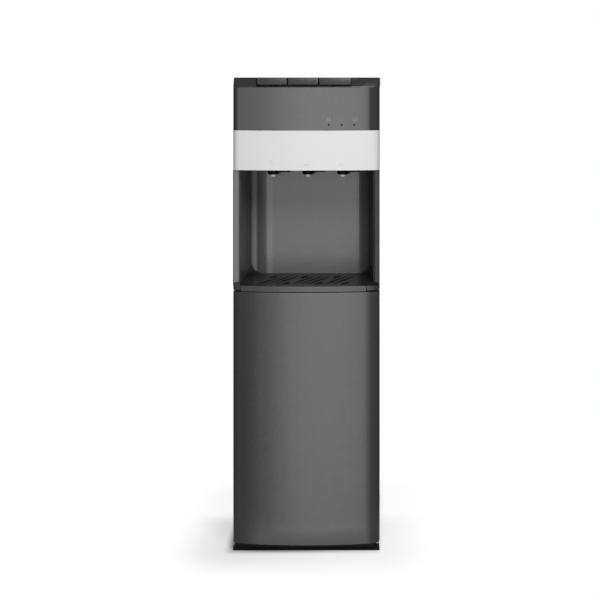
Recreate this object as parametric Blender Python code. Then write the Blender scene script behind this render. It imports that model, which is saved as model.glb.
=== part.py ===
"""Floor-standing water dispenser with its bottle behind a door and a recessed alcove above.

Metres, +Z up. The origin is the centre of the footprint on the floor, +X is to the right of
someone who faces the door, and the front faces -Y.
"""
import math

import bmesh
import bpy
from mathutils import Matrix, Vector

# Overall size
WIDTH = 0.310
DEPTH = 0.360
HEIGHT = 1.000
GAP = 0.0003
OVERRUN = 0.002
HALF = WIDTH / 2
FRONT_Y = -DEPTH / 2
REAR_Y = DEPTH / 2
SMOOTH_ANGLE = math.radians(30)
ROUND_SIDES = 24
CAN_SIDES = 16
PORT_SIDES = 12

# Plan of the bowed front, shared by door, band and head
FRONT_SAG = 0.010
CORNER_RADIUS = 0.017
SHELL_WALL = 0.002
CORNER_STEPS = 6
BOW_STEPS = 12
MITRE_SHARE = 0.5

# Heights of the front, from the top down
COVER_HEIGHT = 0.021
PANEL_HEIGHT = 0.090
BAND_HEIGHT = 0.084
ALCOVE_HEIGHT = 0.245
TRAY_HEIGHT = 0.0095
DOOR_SEAM = 0.0015
DOOR_BOTTOM = 0.020
FOOT_HEIGHT = 0.0015
PANEL_TOP = HEIGHT - COVER_HEIGHT
BAND_TOP = PANEL_TOP - PANEL_HEIGHT
BAND_BOTTOM = BAND_TOP - BAND_HEIGHT
DECK_TOP = BAND_BOTTOM - ALCOVE_HEIGHT
STRIP_BOTTOM = DECK_TOP - TRAY_HEIGHT
DOOR_TOP = STRIP_BOTTOM - DOOR_SEAM

# Door and its hinge
DOOR_DEPTH = 0.036
DOOR_GAP = 0.0035
DOOR_SKIN = 0.0025
DOOR_STILE = 0.020
DOOR_LINER = 0.0025
HINGE_INSET_X = 0.006
HINGE_INSET_Y = 0.005
PIN_RADIUS = 0.0025
PIN_DEPTH = 0.013
PIN_ROOT = 0.003
PIN_SIDES = 20
COLLAR_RADIUS = 0.0045
BRACKET_PLATE = 0.0025
BRACKET_WIDTH = 0.022
MAGNET_WIDTH = 0.009
MAGNET_HEIGHT = 0.050
MAGNET_RISE_SHARE = 0.53
MAGNET_Z = DOOR_BOTTOM + MAGNET_RISE_SHARE * (DOOR_TOP - DOOR_BOTTOM)

# Cabinet
SHEET = 0.001
REAR_SHEET = 0.002
CONDENSER_SPACE = 0.030
CABINET_HALF = HALF - SHELL_WALL - GAP
CABINET_FRONT = FRONT_Y + DOOR_DEPTH + DOOR_GAP
BODY_REAR = REAR_Y - CONDENSER_SPACE
REAR_FACE = BODY_REAR - REAR_SHEET
ROOM_HALF = CABINET_HALF - SHEET - GAP
ROOM_REAR = REAR_FACE - GAP
FLANGE = 0.018
PAN_FRONT_SETBACK = 0.025
PAN_TOP = 0.0145
PAN_WALL = 0.004
PAN_FLOOR = 0.003
PAN_CORNER = 0.010
LIP_PROUD = 0.0013
LIP_HEIGHT = 0.003
HEEL_HEIGHT = 0.0085
HEEL_WIDTH = PAN_CORNER + LIP_PROUD
FOOT_SIDE = 0.022
FOOT_INSET = 0.010
FOOT_BEVEL = 0.0004
SHELF_DROP = 0.004
SHELF_SHEET = 0.0017
SHELF_BOTTOM = DOOR_TOP - SHELF_DROP
PIPE_SPACE = 0.0135
COMPARTMENT_SHEET = 0.0015
COMPARTMENT_REAR = BODY_REAR - PIPE_SPACE
BOTTLE_FLOOR = 0.003
RING_MARGIN = 0.0105
RING_WALL = 0.002
RING_RISE = 0.0025
RING_SIDES = 48
BOTTLE_Y = (COMPARTMENT_REAR + CABINET_FRONT) / 2
RING_RADIUS = min(CABINET_HALF, (COMPARTMENT_REAR - CABINET_FRONT) / 2) - RING_MARGIN

# Alcove
MACHINE_DEPTH = 0.185
LIP_SETBACK = 0.0145
LIP_ROUND = 0.002
LIP_BULGE_SHARE = 0.3
NOSE_ROUND = 0.003
NOSE_LEAN = math.radians(9)
NOSE_TURN = math.radians(20)
RIDGE_SETBACK = 0.0245
FILLET_WIDTH = 0.0275
FILLET_DEPTH = 0.027
ALCOVE_SHEET = 0.002
ALCOVE_STEPS = 8
NOSE_STEPS = 4
WALL_CURVE_SHARE = 0.6
LIP_HALF = HALF - LIP_SETBACK
ALCOVE_HALF = HALF - RIDGE_SETBACK
FLAT_HALF = ALCOVE_HALF - FILLET_WIDTH
BACK_Y = REAR_Y - MACHINE_DEPTH
RIDGE_Y = BACK_Y - FILLET_DEPTH

# Tray and its surround
BLOCK_DROP = 0.0075
BLOCK_RISE = 0.007
LEFT_BLOCK = 0.018
RIGHT_BLOCK = 0.0285
STRIP_RISE = 0.002
STRIP_DEPTH = 0.012
SLOT_WIDTH = 0.0022
TRAY_SIDE_MARGIN = 0.0125
TRAY_REAR_MARGIN = 0.009
TRAY_WALL = 0.0015
TRAY_FLOOR = 0.0015
TRAY_LEDGE = 0.002
TRAY_CLEAR = 0.0005
HORN_RISE = 0.023
HORN_WALL = 0.0015
HORN_ROOT = 0.003
GRILLE_SHEET = 0.0018
GRILLE_DROP = 0.0008
LEAF_WIDTH = 0.0085
LEAF_LEAN = math.radians(24)
LEAF_LENGTH_SHARE = 0.82
LEAF_PLACE_SHARES = (-0.691, -0.547, -0.403, -0.089, 0.055, 0.199, 0.513, 0.653)
PETAL_WIDTH = 0.0135
PETAL_LENGTH_SHARE = 0.26
PETAL_PLACE_SHARES = ((-0.835, 0.78), (-0.246, 0.22), (-0.246, 0.78), (0.356, 0.22),
                      (0.356, 0.78), (0.835, 0.22))
LEAF_STEPS = 6
BLOCK_BOTTOM = DECK_TOP - BLOCK_DROP
BLOCK_TOP = DECK_TOP + BLOCK_RISE
STRIP_TOP = DECK_TOP + STRIP_RISE
STRIP_LEFT = LEFT_BLOCK - HALF
STRIP_RIGHT = HALF - RIGHT_BLOCK
TRAY_HALF = ALCOVE_HALF - TRAY_SIDE_MARGIN
HORN_TOP = DECK_TOP + HORN_RISE

# Taps
TAP_SETBACK = 0.075
TAP_WALL_MARGIN = 0.0555
HEAD_FLOOR_SHEET = 0.003
HEAD_FLOOR_LIFT = 0.003
SHROUD_TOP_RADIUS = 0.0150
SHROUD_LOW_RADIUS = 0.0115
SHROUD_EDGE = 0.0015
SHROUD_DROP = 0.0165
FIN_DEPTH = 0.012
FIN_STEP = 0.0004
FIN_REACH_SHARE = 0.507
FIN_DROP_SHARE = 0.70
SPOUT_RADIUS = 0.0055
SPOUT_BORE = 0.0020
SPOUT_DROP = 0.0048
SPOUT_NECK = 0.0045
SPOUT_EDGE = 0.0015
VALVE_WIDTH = 0.024
VALVE_LENGTH = 0.034
VALVE_HEIGHT = 0.024
CAN_RADIUS = 0.009
CAN_LENGTH = 0.030
PORT_RADIUS = 0.004
PORT_LENGTH = 0.010
TAP_PITCH = ALCOVE_HALF - TAP_WALL_MARGIN
TAP_Y = FRONT_Y + TAP_SETBACK
VALVE_REAR = TAP_Y + VALVE_LENGTH / 2 + CAN_LENGTH

# Head
HEAD_RETURN = 0.0375
SLOPE_BACK = 0.020
CORNER_HOLD_SHARE = 0.6
CORNER_HOLD_POWER = 16
COVER_EDGE = 0.002
COVER_LIP = 0.0022
COVER_ROOF = 0.003
COVER_WALL = 0.007
COVER_BOTTOM = PANEL_TOP + GAP
KEY_FLOOR = 0.0012
KEY_LEFT_MARGIN = 0.0515
KEY_RIGHT_MARGIN = 0.0605
KEY_EDGE_SHARES = (0.0, 0.323, 0.657, 1.0)
KEY_SEAM = 0.0028
KEY_SETBACK = 0.0145
KEY_LENGTH = 0.056
KEY_TRAVEL = 0.003
KEY_CLEAR = 0.0004
KEY_UNDER_CLEAR = 0.0017
KEY_BOW = 0.0015
KEY_EDGE = 0.0010
KEY_STEPS = 4
KEY_FRONT = FRONT_Y + KEY_SETBACK
NOTCH_END_CLEAR = 0.0012
NOTCH_LEFT_SLANT = 0.0035
NOTCH_RIGHT_SLANT = 0.0125
STEM_RADIUS = 0.004
STEM_SETBACK = 0.040
STEM_LENGTH = 0.0130
STEM_Y = FRONT_Y + STEM_SETBACK
SWITCH_SIDE = 0.012
SWITCH_HEIGHT = 0.008
BOARD_SHEET = 0.0016
BOARD_POST_RADIUS = 0.003
LENS_COUNT = 3
LENS_PITCH = 0.0268
LENS_MARGIN = 0.053
LENS_RISE = 0.0115
LENS_RADIUS = 0.0015
LENS_BAR_HEIGHT = 0.006
LENS_BAR_DEPTH = 0.003
LENS_BAR_MARGIN = 0.005
LENS_Z = BAND_TOP + LENS_RISE
CONTROL_HEIGHT = 0.040
CONTROL_MARGIN = 0.012
CONTROL_POST_RADIUS = 0.003

# Cold and hot tanks, side by side behind the valves
COLD_RADIUS = 0.048
COLD_LIFT = 0.012
COLD_HEADROOM = 0.0437
COIL_TUBE = 0.0028
COIL_TURNS = 6
COIL_SPARE = 0.016
COIL_CLEAR = 0.0010
COIL_STEPS = 24
JACKET_CLEAR = 0.0004
JACKET_WALL = 0.014
JACKET_SHORT = 0.008
HOT_RADIUS = 0.042
HOT_SKIRT = 0.010
HOT_HEADROOM = 0.0557
TANK_DOME = 0.012
TANK_SIDES = 40
COLD_SIDE_SHARE = 0.18
COLD_REAR_SHARE = 0.28
HOT_SIDE_SHARE = 0.365
HOT_REAR_SHARE = 0.295
TANK_FLOOR = BAND_BOTTOM + HEAD_FLOOR_LIFT + HEAD_FLOOR_SHEET + GAP
COVER_CEILING = HEIGHT - COVER_ROOF
COLD_HEIGHT = COVER_CEILING - COLD_HEADROOM - COLD_LIFT - TANK_FLOOR
HOT_HEIGHT = COVER_CEILING - HOT_HEADROOM - HOT_SKIRT - TANK_FLOOR
COIL_PITCH = (COLD_HEIGHT - 2 * TANK_DOME - COIL_SPARE) / COIL_TURNS
COIL_RADIUS = COLD_RADIUS + COIL_CLEAR + COIL_TUBE
JACKET_RADIUS = COIL_RADIUS + COIL_TUBE + JACKET_CLEAR + JACKET_WALL
SIDE_FACE = CABINET_HALF - SHEET
TANK_SPARE = 2 * (SIDE_FACE - JACKET_RADIUS - HOT_RADIUS)
COLD_X = JACKET_RADIUS + COLD_SIDE_SHARE * TANK_SPARE - SIDE_FACE
HOT_X = SIDE_FACE - HOT_SIDE_SHARE * TANK_SPARE - HOT_RADIUS
HEAD_DEPTH = REAR_FACE - VALVE_REAR
COLD_Y = REAR_FACE - JACKET_RADIUS - COLD_REAR_SHARE * (HEAD_DEPTH - 2 * JACKET_RADIUS)
HOT_Y = REAR_FACE - HOT_RADIUS - HOT_REAR_SHARE * (HEAD_DEPTH - 2 * HOT_RADIUS)

# Compressor and water pump, side by side behind the alcove
MOTOR_RADIUS = 0.052
MOTOR_HEIGHT = 0.130
MOTOR_DOME = 0.030
MOTOR_FOOT = 0.006
MOTOR_FOOT_RADIUS = 0.0048
MOTOR_SIDES = 32
MOTOR_PLATE_HALF = MOTOR_RADIUS + MOTOR_FOOT
SUCTION_SHARE = 0.75
STUB_RADIUS = 0.0045
DISCHARGE_RISE = 0.030
WATER_PUMP_RADIUS = 0.024
WATER_PUMP_HEIGHT = 0.066
PUMP_PORT_HALF = 0.012
COMPRESSOR_SIDE_SHARE = 0.156
WATER_PUMP_SIDE_SHARE = 0.342
MACHINE_SPARE = 2 * (SIDE_FACE - MOTOR_PLATE_HALF - WATER_PUMP_RADIUS)
COMPRESSOR_X = MOTOR_PLATE_HALF + COMPRESSOR_SIDE_SHARE * MACHINE_SPARE - SIDE_FACE
WATER_PUMP_X = SIDE_FACE - WATER_PUMP_SIDE_SHARE * MACHINE_SPARE - WATER_PUMP_RADIUS
MACHINE_Y = (BACK_Y + ALCOVE_SHEET + REAR_FACE) / 2

# Condenser, drier and capillary
CONDENSER_RUNS = 8
CONDENSER_BOTTOM = 0.090
CONDENSER_DROP = 0.091
CONDENSER_MARGIN = 0.045
CONDENSER_TUBE = 0.0025
CONDENSER_BEND_STEPS = 6
PIPE_STEPS = 4
ROD_SIDE = 0.0020
ROD_COUNT = 11
ROD_OVERHANG = 0.012
STANDOFF_SIDE = 0.008
DRIER_RADIUS = 0.009
DRIER_LENGTH = 0.080
DRIER_MARGIN = 0.027
DRIER_RISE_SHARE = 0.577
CAPILLARY = 0.0012
CAPILLARY_RISE = 0.030
CAPILLARY_HEADROOM = 0.014
CAPILLARY_BEND = 0.0045
CONDENSER_TOP = SHELF_BOTTOM - CONDENSER_DROP
CONDENSER_PITCH = (CONDENSER_TOP - CONDENSER_BOTTOM) / (CONDENSER_RUNS - 1)
CONDENSER_HALF = HALF - CONDENSER_MARGIN
CONDENSER_Y = REAR_Y - CONDENSER_TUBE
DRIER_X = DRIER_MARGIN - HALF
DRIER_Y = REAR_Y - DRIER_RADIUS
DRIER_Z = CONDENSER_BOTTOM + DRIER_RISE_SHARE * (CONDENSER_TOP - CONDENSER_BOTTOM)
CAPILLARY_Z = DRIER_Z + DRIER_LENGTH + CAPILLARY_RISE
CAPILLARY_ROOF = PANEL_TOP - CAPILLARY_HEADROOM

# Probe and hoses
HOSE_RADIUS = 0.0045
HOSE_BEND = 0.018
HEAD_HOSE_BEND = 0.0108
HOSE_STEPS = 5
PROBE_MARGIN = 0.033
PROBE_SETBACK = 0.0305
PROBE_DROP = 0.105
PROBE_CAP_RADIUS = 0.020
PROBE_CAP_HEIGHT = 0.028
PROBE_TUBE_RADIUS = 0.0045
PROBE_TUBE_BOTTOM = 0.035
DOCK_PLATE = 0.008
DOCK_HALF = 0.016
PROBE_X = HALF - PROBE_MARGIN
PROBE_Y = COMPARTMENT_REAR - PROBE_SETBACK
PROBE_CAP_Z = SHELF_BOTTOM - PROBE_DROP

# Rear panel and its fittings
VENT_LENGTH = 0.110
VENT_HEIGHT = 0.004
VENT_PITCH = 0.014
VENT_COUNT = 8
VENT_RISE = 0.085
VENT_MIDDLE = 0.010
VENT_BOTTOM = SHELF_BOTTOM + VENT_RISE
VENT_X = VENT_LENGTH / 2 + VENT_MIDDLE
SWITCH_MARGIN = 0.060
SWITCH_PITCH = 0.030
SWITCH_RISE = 0.055
SWITCH_X = HALF - SWITCH_MARGIN
SWITCH_Z = BAND_BOTTOM + SWITCH_RISE
ROCKER_WIDTH = 0.013
ROCKER_HEIGHT = 0.021
ROCKER_DEPTH = 0.010
ROCKER_PROUD = 0.0025
ROCKER_CLEAR = 0.0006
ROCKER_FRAME = 0.003
ROCKER_FRAME_RISE = 0.0012
GLAND_MARGIN = 0.040
GLAND_RISE = 0.047
GLAND_RADIUS = 0.008
GLAND_PROUD = 0.006
GLAND_X = GLAND_MARGIN - HALF
GLAND_Z = SHELF_BOTTOM + GLAND_RISE
DRAIN_X = 0.020
DRAIN_RISE = 0.040
DRAIN_PIPE_RADIUS = 0.007
DRAIN_PIPE_LENGTH = 0.018
DRAIN_PIPE_BORE = 0.005
DRAIN_CAP_RADIUS = 0.011
DRAIN_CAP_WALL = 0.002
DRAIN_Z = SHELF_BOTTOM + DRAIN_RISE


def clear_scene():
    """Remove whatever the open file holds."""
    for item in list(bpy.data.objects):
        bpy.data.objects.remove(item, do_unlink=True)


def material(name, colour, roughness, metallic=0.0):
    """Principled material with a plain colour."""
    made = bpy.data.materials.get(name) or bpy.data.materials.new(name)
    made.use_nodes = True
    shader = made.node_tree.nodes["Principled BSDF"]
    shader.inputs["Base Color"].default_value = (*colour, 1.0)
    shader.inputs["Roughness"].default_value = roughness
    shader.inputs["Metallic"].default_value = metallic
    return made


GREY_PLASTIC = material("grey_plastic", (0.16, 0.16, 0.165), 0.42)
DARK_PLASTIC = material("dark_plastic", (0.045, 0.045, 0.048), 0.45)
BLACK_PLASTIC = material("black_plastic", (0.012, 0.012, 0.013), 0.55)
WHITE_PLASTIC = material("white_plastic", (0.72, 0.72, 0.72), 0.35)
GREY_STEEL = material("painted_steel", (0.09, 0.09, 0.093), 0.40, 0.2)
ZINC = material("zinc_sheet", (0.55, 0.56, 0.57), 0.38, 1.0)
STAINLESS = material("stainless", (0.62, 0.62, 0.63), 0.30, 1.0)
COPPER = material("copper", (0.75, 0.38, 0.24), 0.32, 1.0)
BLACK_PAINT = material("black_paint", (0.02, 0.02, 0.02), 0.40)
FOAM = material("foam", (0.80, 0.80, 0.78), 0.90)
SILICONE = material("silicone", (0.78, 0.80, 0.82), 0.45)
BOARD_GREEN = material("board_green", (0.05, 0.22, 0.10), 0.50)
RUBBER = material("rubber", (0.02, 0.02, 0.02), 0.85)
LENS = material("lens", (0.80, 0.82, 0.84), 0.15)
RED = material("red_key", (0.60, 0.05, 0.04), 0.35)
GREEN = material("green_key", (0.05, 0.35, 0.12), 0.35)


def add_object(name, mesh_data, finish, smooth=True):
    """Link a bmesh as an object with outward faces and a finish."""
    bmesh.ops.recalc_face_normals(mesh_data, faces=mesh_data.faces)
    mesh = bpy.data.meshes.new(name)
    mesh_data.to_mesh(mesh)
    mesh_data.free()
    made = bpy.data.objects.new(name, mesh)
    bpy.context.scene.collection.objects.link(made)
    mesh.materials.append(finish)
    if smooth:
        mesh.shade_smooth()
        mesh.set_sharp_from_angle(angle=SMOOTH_ANGLE)
    return made


def layered(rings, closed_ends=True):
    """A bmesh that joins equal rings of points, one above the other."""
    made = bmesh.new()
    rows = [[made.verts.new(point) for point in ring] for ring in rings]
    for low, high in zip(rows, rows[1:]):
        for first in range(len(low)):
            second = (first + 1) % len(low)
            made.faces.new((low[first], low[second], high[second], high[first]))
    if closed_ends:
        made.faces.new(list(reversed(rows[0])))
        made.faces.new(rows[-1])
    return made


def prism(outline, bottom, top):
    """Upright solid over a plan outline."""
    return layered([[(x, y, bottom) for x, y in outline], [(x, y, top) for x, y in outline]])


def block(low, high):
    """Box between two corners."""
    outline = [(low[0], low[1]), (high[0], low[1]), (high[0], high[1]), (low[0], high[1])]
    return prism(outline, low[2], high[2])


def turned(profile, centre, axis="Z", sides=ROUND_SIDES):
    """Closed turned solid: (radius, height) pairs from one end to the other about an axis."""
    turn = {"Z": Matrix(), "Y": Matrix.Rotation(-math.pi / 2, 4, "X"),
            "X": Matrix.Rotation(math.pi / 2, 4, "Y")}[axis]
    rings = []
    for radius, height in profile:
        angles = [2 * math.pi * step / sides for step in range(sides)]
        rings.append([(radius * math.cos(a), radius * math.sin(a), height) for a in angles])
    made = layered(rings)
    bmesh.ops.transform(made, matrix=Matrix.Translation(centre) @ turn, verts=made.verts)
    return made


def ring_solid(outer, inner, centre, bottom, top, sides=ROUND_SIDES):
    """Upright tube with its bore open at both ends."""
    made = bmesh.new()
    rows = []
    for radius, height in ((outer, bottom), (outer, top), (inner, top), (inner, bottom)):
        angles = [2 * math.pi * step / sides for step in range(sides)]
        rows.append([made.verts.new((centre[0] + radius * math.cos(a),
                                     centre[1] + radius * math.sin(a), height)) for a in angles])
    for index, low in enumerate(rows):
        high = rows[(index + 1) % len(rows)]
        for first in range(sides):
            second = (first + 1) % sides
            made.faces.new((low[first], low[second], high[second], high[first]))
    return made


def helper(base, suffix, mesh_data):
    """Hidden solid that a Boolean of the base uses."""
    made = add_object(base.name + suffix, mesh_data, base.data.materials[0], smooth=False)
    made.hide_render = True
    made.display_type = "WIRE"
    return made


def boolean(base, mesh_data, operation):
    """Join a solid to the base, or cut it out."""
    count = len(base.modifiers)
    tool = helper(base, "_" + operation.lower() + str(count), mesh_data)
    step = base.modifiers.new(tool.name, "BOOLEAN")
    step.operation = operation
    step.object = tool
    step.solver = "EXACT"
    return base


def cut(base, mesh_data):
    """Cut a solid out of the base."""
    return boolean(base, mesh_data, "DIFFERENCE")


def join(base, mesh_data):
    """Join a solid to the base."""
    return boolean(base, mesh_data, "UNION")


def merged(parts):
    """One bmesh that holds several separate solids, for a pattern of cuts."""
    made = bmesh.new()
    for part in parts:
        scratch = bpy.data.meshes.new("scratch")
        bmesh.ops.recalc_face_normals(part, faces=part.faces)
        part.to_mesh(scratch)
        part.free()
        made.from_mesh(scratch)
        bpy.data.meshes.remove(scratch)
    return made


def tube(name, points, radius, finish, resolution=2):
    """Pipe with filled ends along hand-placed points, rounded by a smooth curve."""
    data = bpy.data.curves.new(name, "CURVE")
    data.dimensions = "3D"
    data.bevel_depth = radius
    data.bevel_resolution = resolution
    data.use_fill_caps = True
    line = data.splines.new("POLY")
    line.points.add(len(points) - 1)
    for spot, point in zip(line.points, points):
        spot.co = (*point, 1.0)
    made = bpy.data.objects.new(name, data)
    bpy.context.scene.collection.objects.link(made)
    data.materials.append(finish)
    return made


def rounded_route(corners, bend, steps=HOSE_STEPS):
    """Points of a route whose corners are rounded to a bend radius."""
    corners = [Vector(corner) for corner in corners]
    points = [corners[0]]
    for before, corner, after in zip(corners, corners[1:], corners[2:]):
        toward_before = (before - corner).normalized()
        toward_after = (after - corner).normalized()
        angle = toward_before.angle(toward_after)
        reach = bend / math.tan(angle / 2)
        start = corner + toward_before * reach
        middle = corner + (toward_before + toward_after).normalized() * bend / math.sin(angle / 2)
        end = corner + toward_after * reach
        for step in range(steps + 1):
            share = step / steps
            radial = (start - middle).lerp(end - middle, share).normalized()
            points.append(middle + radial * bend)
    points.append(corners[-1])
    return points


def bow_radius():
    """Radius of the shallow bow across the front."""
    chord = HALF - CORNER_RADIUS
    return (chord ** 2 + FRONT_SAG ** 2) / (2 * FRONT_SAG)


def corner_centre_y():
    """Depth of the centre of the front corner's round."""
    reach = bow_radius() - CORNER_RADIUS
    return FRONT_Y + bow_radius() - math.sqrt(reach ** 2 - (HALF - CORNER_RADIUS) ** 2)


def front_line(inset=0.0, left=-HALF, right=HALF):
    """Points of the bowed front with its round corners, from left to right."""
    centre_x = HALF - CORNER_RADIUS
    centre_y = corner_centre_y()
    bow_y = FRONT_Y + bow_radius()
    meet = math.atan2(centre_y - bow_y, centre_x)
    points = []
    for step in range(CORNER_STEPS + 1):
        angle = math.pi + abs(meet) * step / CORNER_STEPS
        radius = CORNER_RADIUS - inset
        points.append((-centre_x + radius * math.cos(angle), centre_y + radius * math.sin(angle)))
    for step in range(1, BOW_STEPS):
        angle = math.pi + abs(meet) + (math.pi - 2 * abs(meet)) * step / BOW_STEPS
        radius = bow_radius() - inset
        points.append((radius * math.cos(angle), bow_y + radius * math.sin(angle)))
    points += [(-x, y) for x, y in reversed(points[:CORNER_STEPS + 1])]
    return [point for point in points if left <= point[0] <= right]


def front_y_at(x, inset=0.0):
    """Depth of the bowed front at a place across it."""
    return FRONT_Y + bow_radius() - math.sqrt((bow_radius() - inset) ** 2 - x ** 2)


def front_outline(back_y, inset=0.0):
    """Closed plan: the bowed front and a straight back."""
    line = front_line(inset)
    return line + [(HALF - inset, back_y), (-HALF + inset, back_y)]


def front_channel(back_y, wall):
    """Plan of a channel: the bowed front, two returns, and an open back."""
    outer = [(-HALF, back_y)] + front_line() + [(HALF, back_y)]
    inner = [(-HALF + wall, back_y)] + front_line(wall) + [(HALF - wall, back_y)]
    return outer + list(reversed(inner))


def strip_outline(path, thickness):
    """Plan of a sheet of even thickness that follows a path, on its right-hand side."""
    offset = []
    for index, point in enumerate(path):
        before = Vector(path[max(index - 1, 0)])
        after = Vector(path[min(index + 1, len(path) - 1)])
        here = Vector(point)
        incoming = (here - before).normalized() if index else (after - here).normalized()
        outgoing = (after - here).normalized() if index < len(path) - 1 else incoming
        side = Vector((incoming.y + outgoing.y, -incoming.x - outgoing.x)).normalized()
        reach = thickness / max(side.dot(Vector((outgoing.y, -outgoing.x))), MITRE_SHARE)
        offset.append(tuple(here + side * reach))
    return list(path) + list(reversed(offset))


def mirrored(outline):
    """The same plan on the other side of the centre."""
    return [(-x, y) for x, y in reversed(outline)]


def side_x(side):
    """-1 for the left, 1 for the right."""
    return -1 if side == "left" else 1


# Base and cabinet


def make_feet():
    """Four rubber pads under the corners of the pan."""
    low_y = FRONT_Y + PAN_FRONT_SETBACK + FOOT_INSET
    high_y = BODY_REAR - FOOT_INSET - FOOT_SIDE
    for side in ("left", "right"):
        inner = CABINET_HALF - FOOT_INSET - FOOT_SIDE
        low_x = inner if side == "right" else -inner - FOOT_SIDE
        for end, y in (("front", low_y), ("rear", high_y)):
            pad = block((low_x, y, 0), (low_x + FOOT_SIDE, y + FOOT_SIDE, FOOT_HEIGHT - GAP))
            foot = add_object("foot_" + end + "_" + side, pad, RUBBER)
            bevel = foot.modifiers.new("soft_edges", "BEVEL")
            bevel.width = FOOT_BEVEL
            bevel.segments = 2


def pan_outline(inset=0.0):
    """Plan of the base pan with rounded front corners."""
    half = CABINET_HALF - inset
    front = FRONT_Y + PAN_FRONT_SETBACK + inset
    rear = BODY_REAR - inset
    radius = PAN_CORNER - inset
    points = []
    for step in range(CORNER_STEPS + 1):
        angle = math.pi + math.pi / 2 * step / CORNER_STEPS
        points.append((-half + radius + radius * math.cos(angle),
                       front + radius + radius * math.sin(angle)))
    points += [(-x, y) for x, y in reversed(points)]
    return points + [(half, rear), (-half, rear)]


def heel_outline():
    """Plan of the raised piece at the right front corner of the lip."""
    edge = CABINET_HALF + LIP_PROUD - HEEL_WIDTH
    rear = FRONT_Y + PAN_FRONT_SETBACK + 2 * PAN_CORNER
    line = [(x, y) for x, y in pan_outline(-LIP_PROUD) if x > edge - GAP and y < rear]
    return line + [(CABINET_HALF + LIP_PROUD, rear), (edge, rear)]


def make_base_pan():
    """Shallow pan that carries the cabinet, with a low lip and raised front corners."""
    lip = prism(pan_outline(-LIP_PROUD), FOOT_HEIGHT, FOOT_HEIGHT + LIP_HEIGHT)
    pan = add_object("base_pan", lip, BLACK_PLASTIC)
    join(pan, prism(pan_outline(), FOOT_HEIGHT + LIP_HEIGHT / 3, PAN_TOP))
    for plan in (heel_outline(), mirrored(heel_outline())):
        join(pan, prism(plan, FOOT_HEIGHT + LIP_HEIGHT / 2, HEEL_HEIGHT))
    cut(pan, prism(pan_outline(PAN_WALL), FOOT_HEIGHT + PAN_FLOOR, PAN_TOP + OVERRUN))


def make_bottle_floor():
    """Plate the bottle stands on, with a low ring that centres it."""
    half = ROOM_HALF
    bottom = PAN_TOP + GAP
    front = CABINET_FRONT + SHEET + GAP
    rear = ROOM_REAR
    floor = add_object("bottle_floor", block((-half, front, bottom),
                                             (half, rear, bottom + BOTTLE_FLOOR)), DARK_PLASTIC)
    top = bottom + BOTTLE_FLOOR
    join(floor, ring_solid(RING_RADIUS, RING_RADIUS - RING_WALL,
                           (0, BOTTLE_Y), top - BOTTLE_FLOOR / 2, top + RING_RISE,
                           RING_SIDES))


def make_side_panel(side):
    """Folded steel side with a short flange at its front."""
    edge = CABINET_HALF
    path = [(edge - FLANGE, CABINET_FRONT), (edge, CABINET_FRONT), (edge, BODY_REAR),
            (edge - SHEET, BODY_REAR), (edge - SHEET, CABINET_FRONT + SHEET),
            (edge - FLANGE, CABINET_FRONT + SHEET)]
    outline = path if side == "right" else mirrored(path)
    panel = add_object("side_panel_" + side, prism(outline, PAN_TOP + GAP, PANEL_TOP), GREY_STEEL)
    return panel


def trim_side_panel(panel, side):
    """Cut the front flange away where shells, blocks and the alcove walls pass it."""
    high_x = ROOM_HALF
    low_x = CABINET_HALF - FLANGE - OVERRUN
    if side == "left":
        low_x, high_x = -high_x, -low_x
    cut(panel, block((low_x, CABINET_FRONT - OVERRUN, DOOR_TOP - SHELL_WALL),
                     (high_x, CABINET_FRONT + SHEET + OVERRUN, PANEL_TOP + OVERRUN)))


def make_mid_shelf():
    """Steel shelf over the bottle compartment, with a hole for the hose."""
    half = ROOM_HALF
    shelf = add_object("mid_shelf", block((-half, CABINET_FRONT + SHEET + GAP, SHELF_BOTTOM),
                                          (half, ROOM_REAR,
                                           SHELF_BOTTOM + SHELF_SHEET)), ZINC)
    places = ((PROBE_X, PROBE_Y, HOSE_RADIUS), (*capillary_riser(), CAPILLARY))
    for x, y, radius in places:
        hole = radius + TRAY_CLEAR
        cut(shelf, turned([(hole, 0), (hole, SHELF_SHEET + 2 * OVERRUN)],
                          (x, y, SHELF_BOTTOM - OVERRUN)))


def make_compartment_back():
    """Back sheet of the bottle compartment with the dock of the probe."""
    half = ROOM_HALF
    bottom = PAN_TOP + GAP + BOTTLE_FLOOR + GAP
    back = add_object("compartment_back", block((-half, COMPARTMENT_REAR, bottom),
                                                (half, COMPARTMENT_REAR + COMPARTMENT_SHEET,
                                                 SHELF_BOTTOM - GAP)), ZINC)
    top = PROBE_CAP_Z - GAP
    join(back, block((PROBE_X - DOCK_HALF, PROBE_Y - DOCK_HALF, top - DOCK_PLATE),
                     (PROBE_X + DOCK_HALF, COMPARTMENT_REAR + COMPARTMENT_SHEET / 2, top)))
    hole = PROBE_TUBE_RADIUS + TRAY_CLEAR
    cut(back, turned([(hole, 0), (hole, DOCK_PLATE + 2 * OVERRUN)],
                     (PROBE_X, PROBE_Y, top - DOCK_PLATE - OVERRUN)))


def round_hole_y(x, z, radius):
    """Cutter for a round hole through the rear panel."""
    span = REAR_SHEET + 2 * OVERRUN
    return turned([(radius, 0), (radius, span)], (x, REAR_FACE - OVERRUN, z), "Y")


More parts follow.
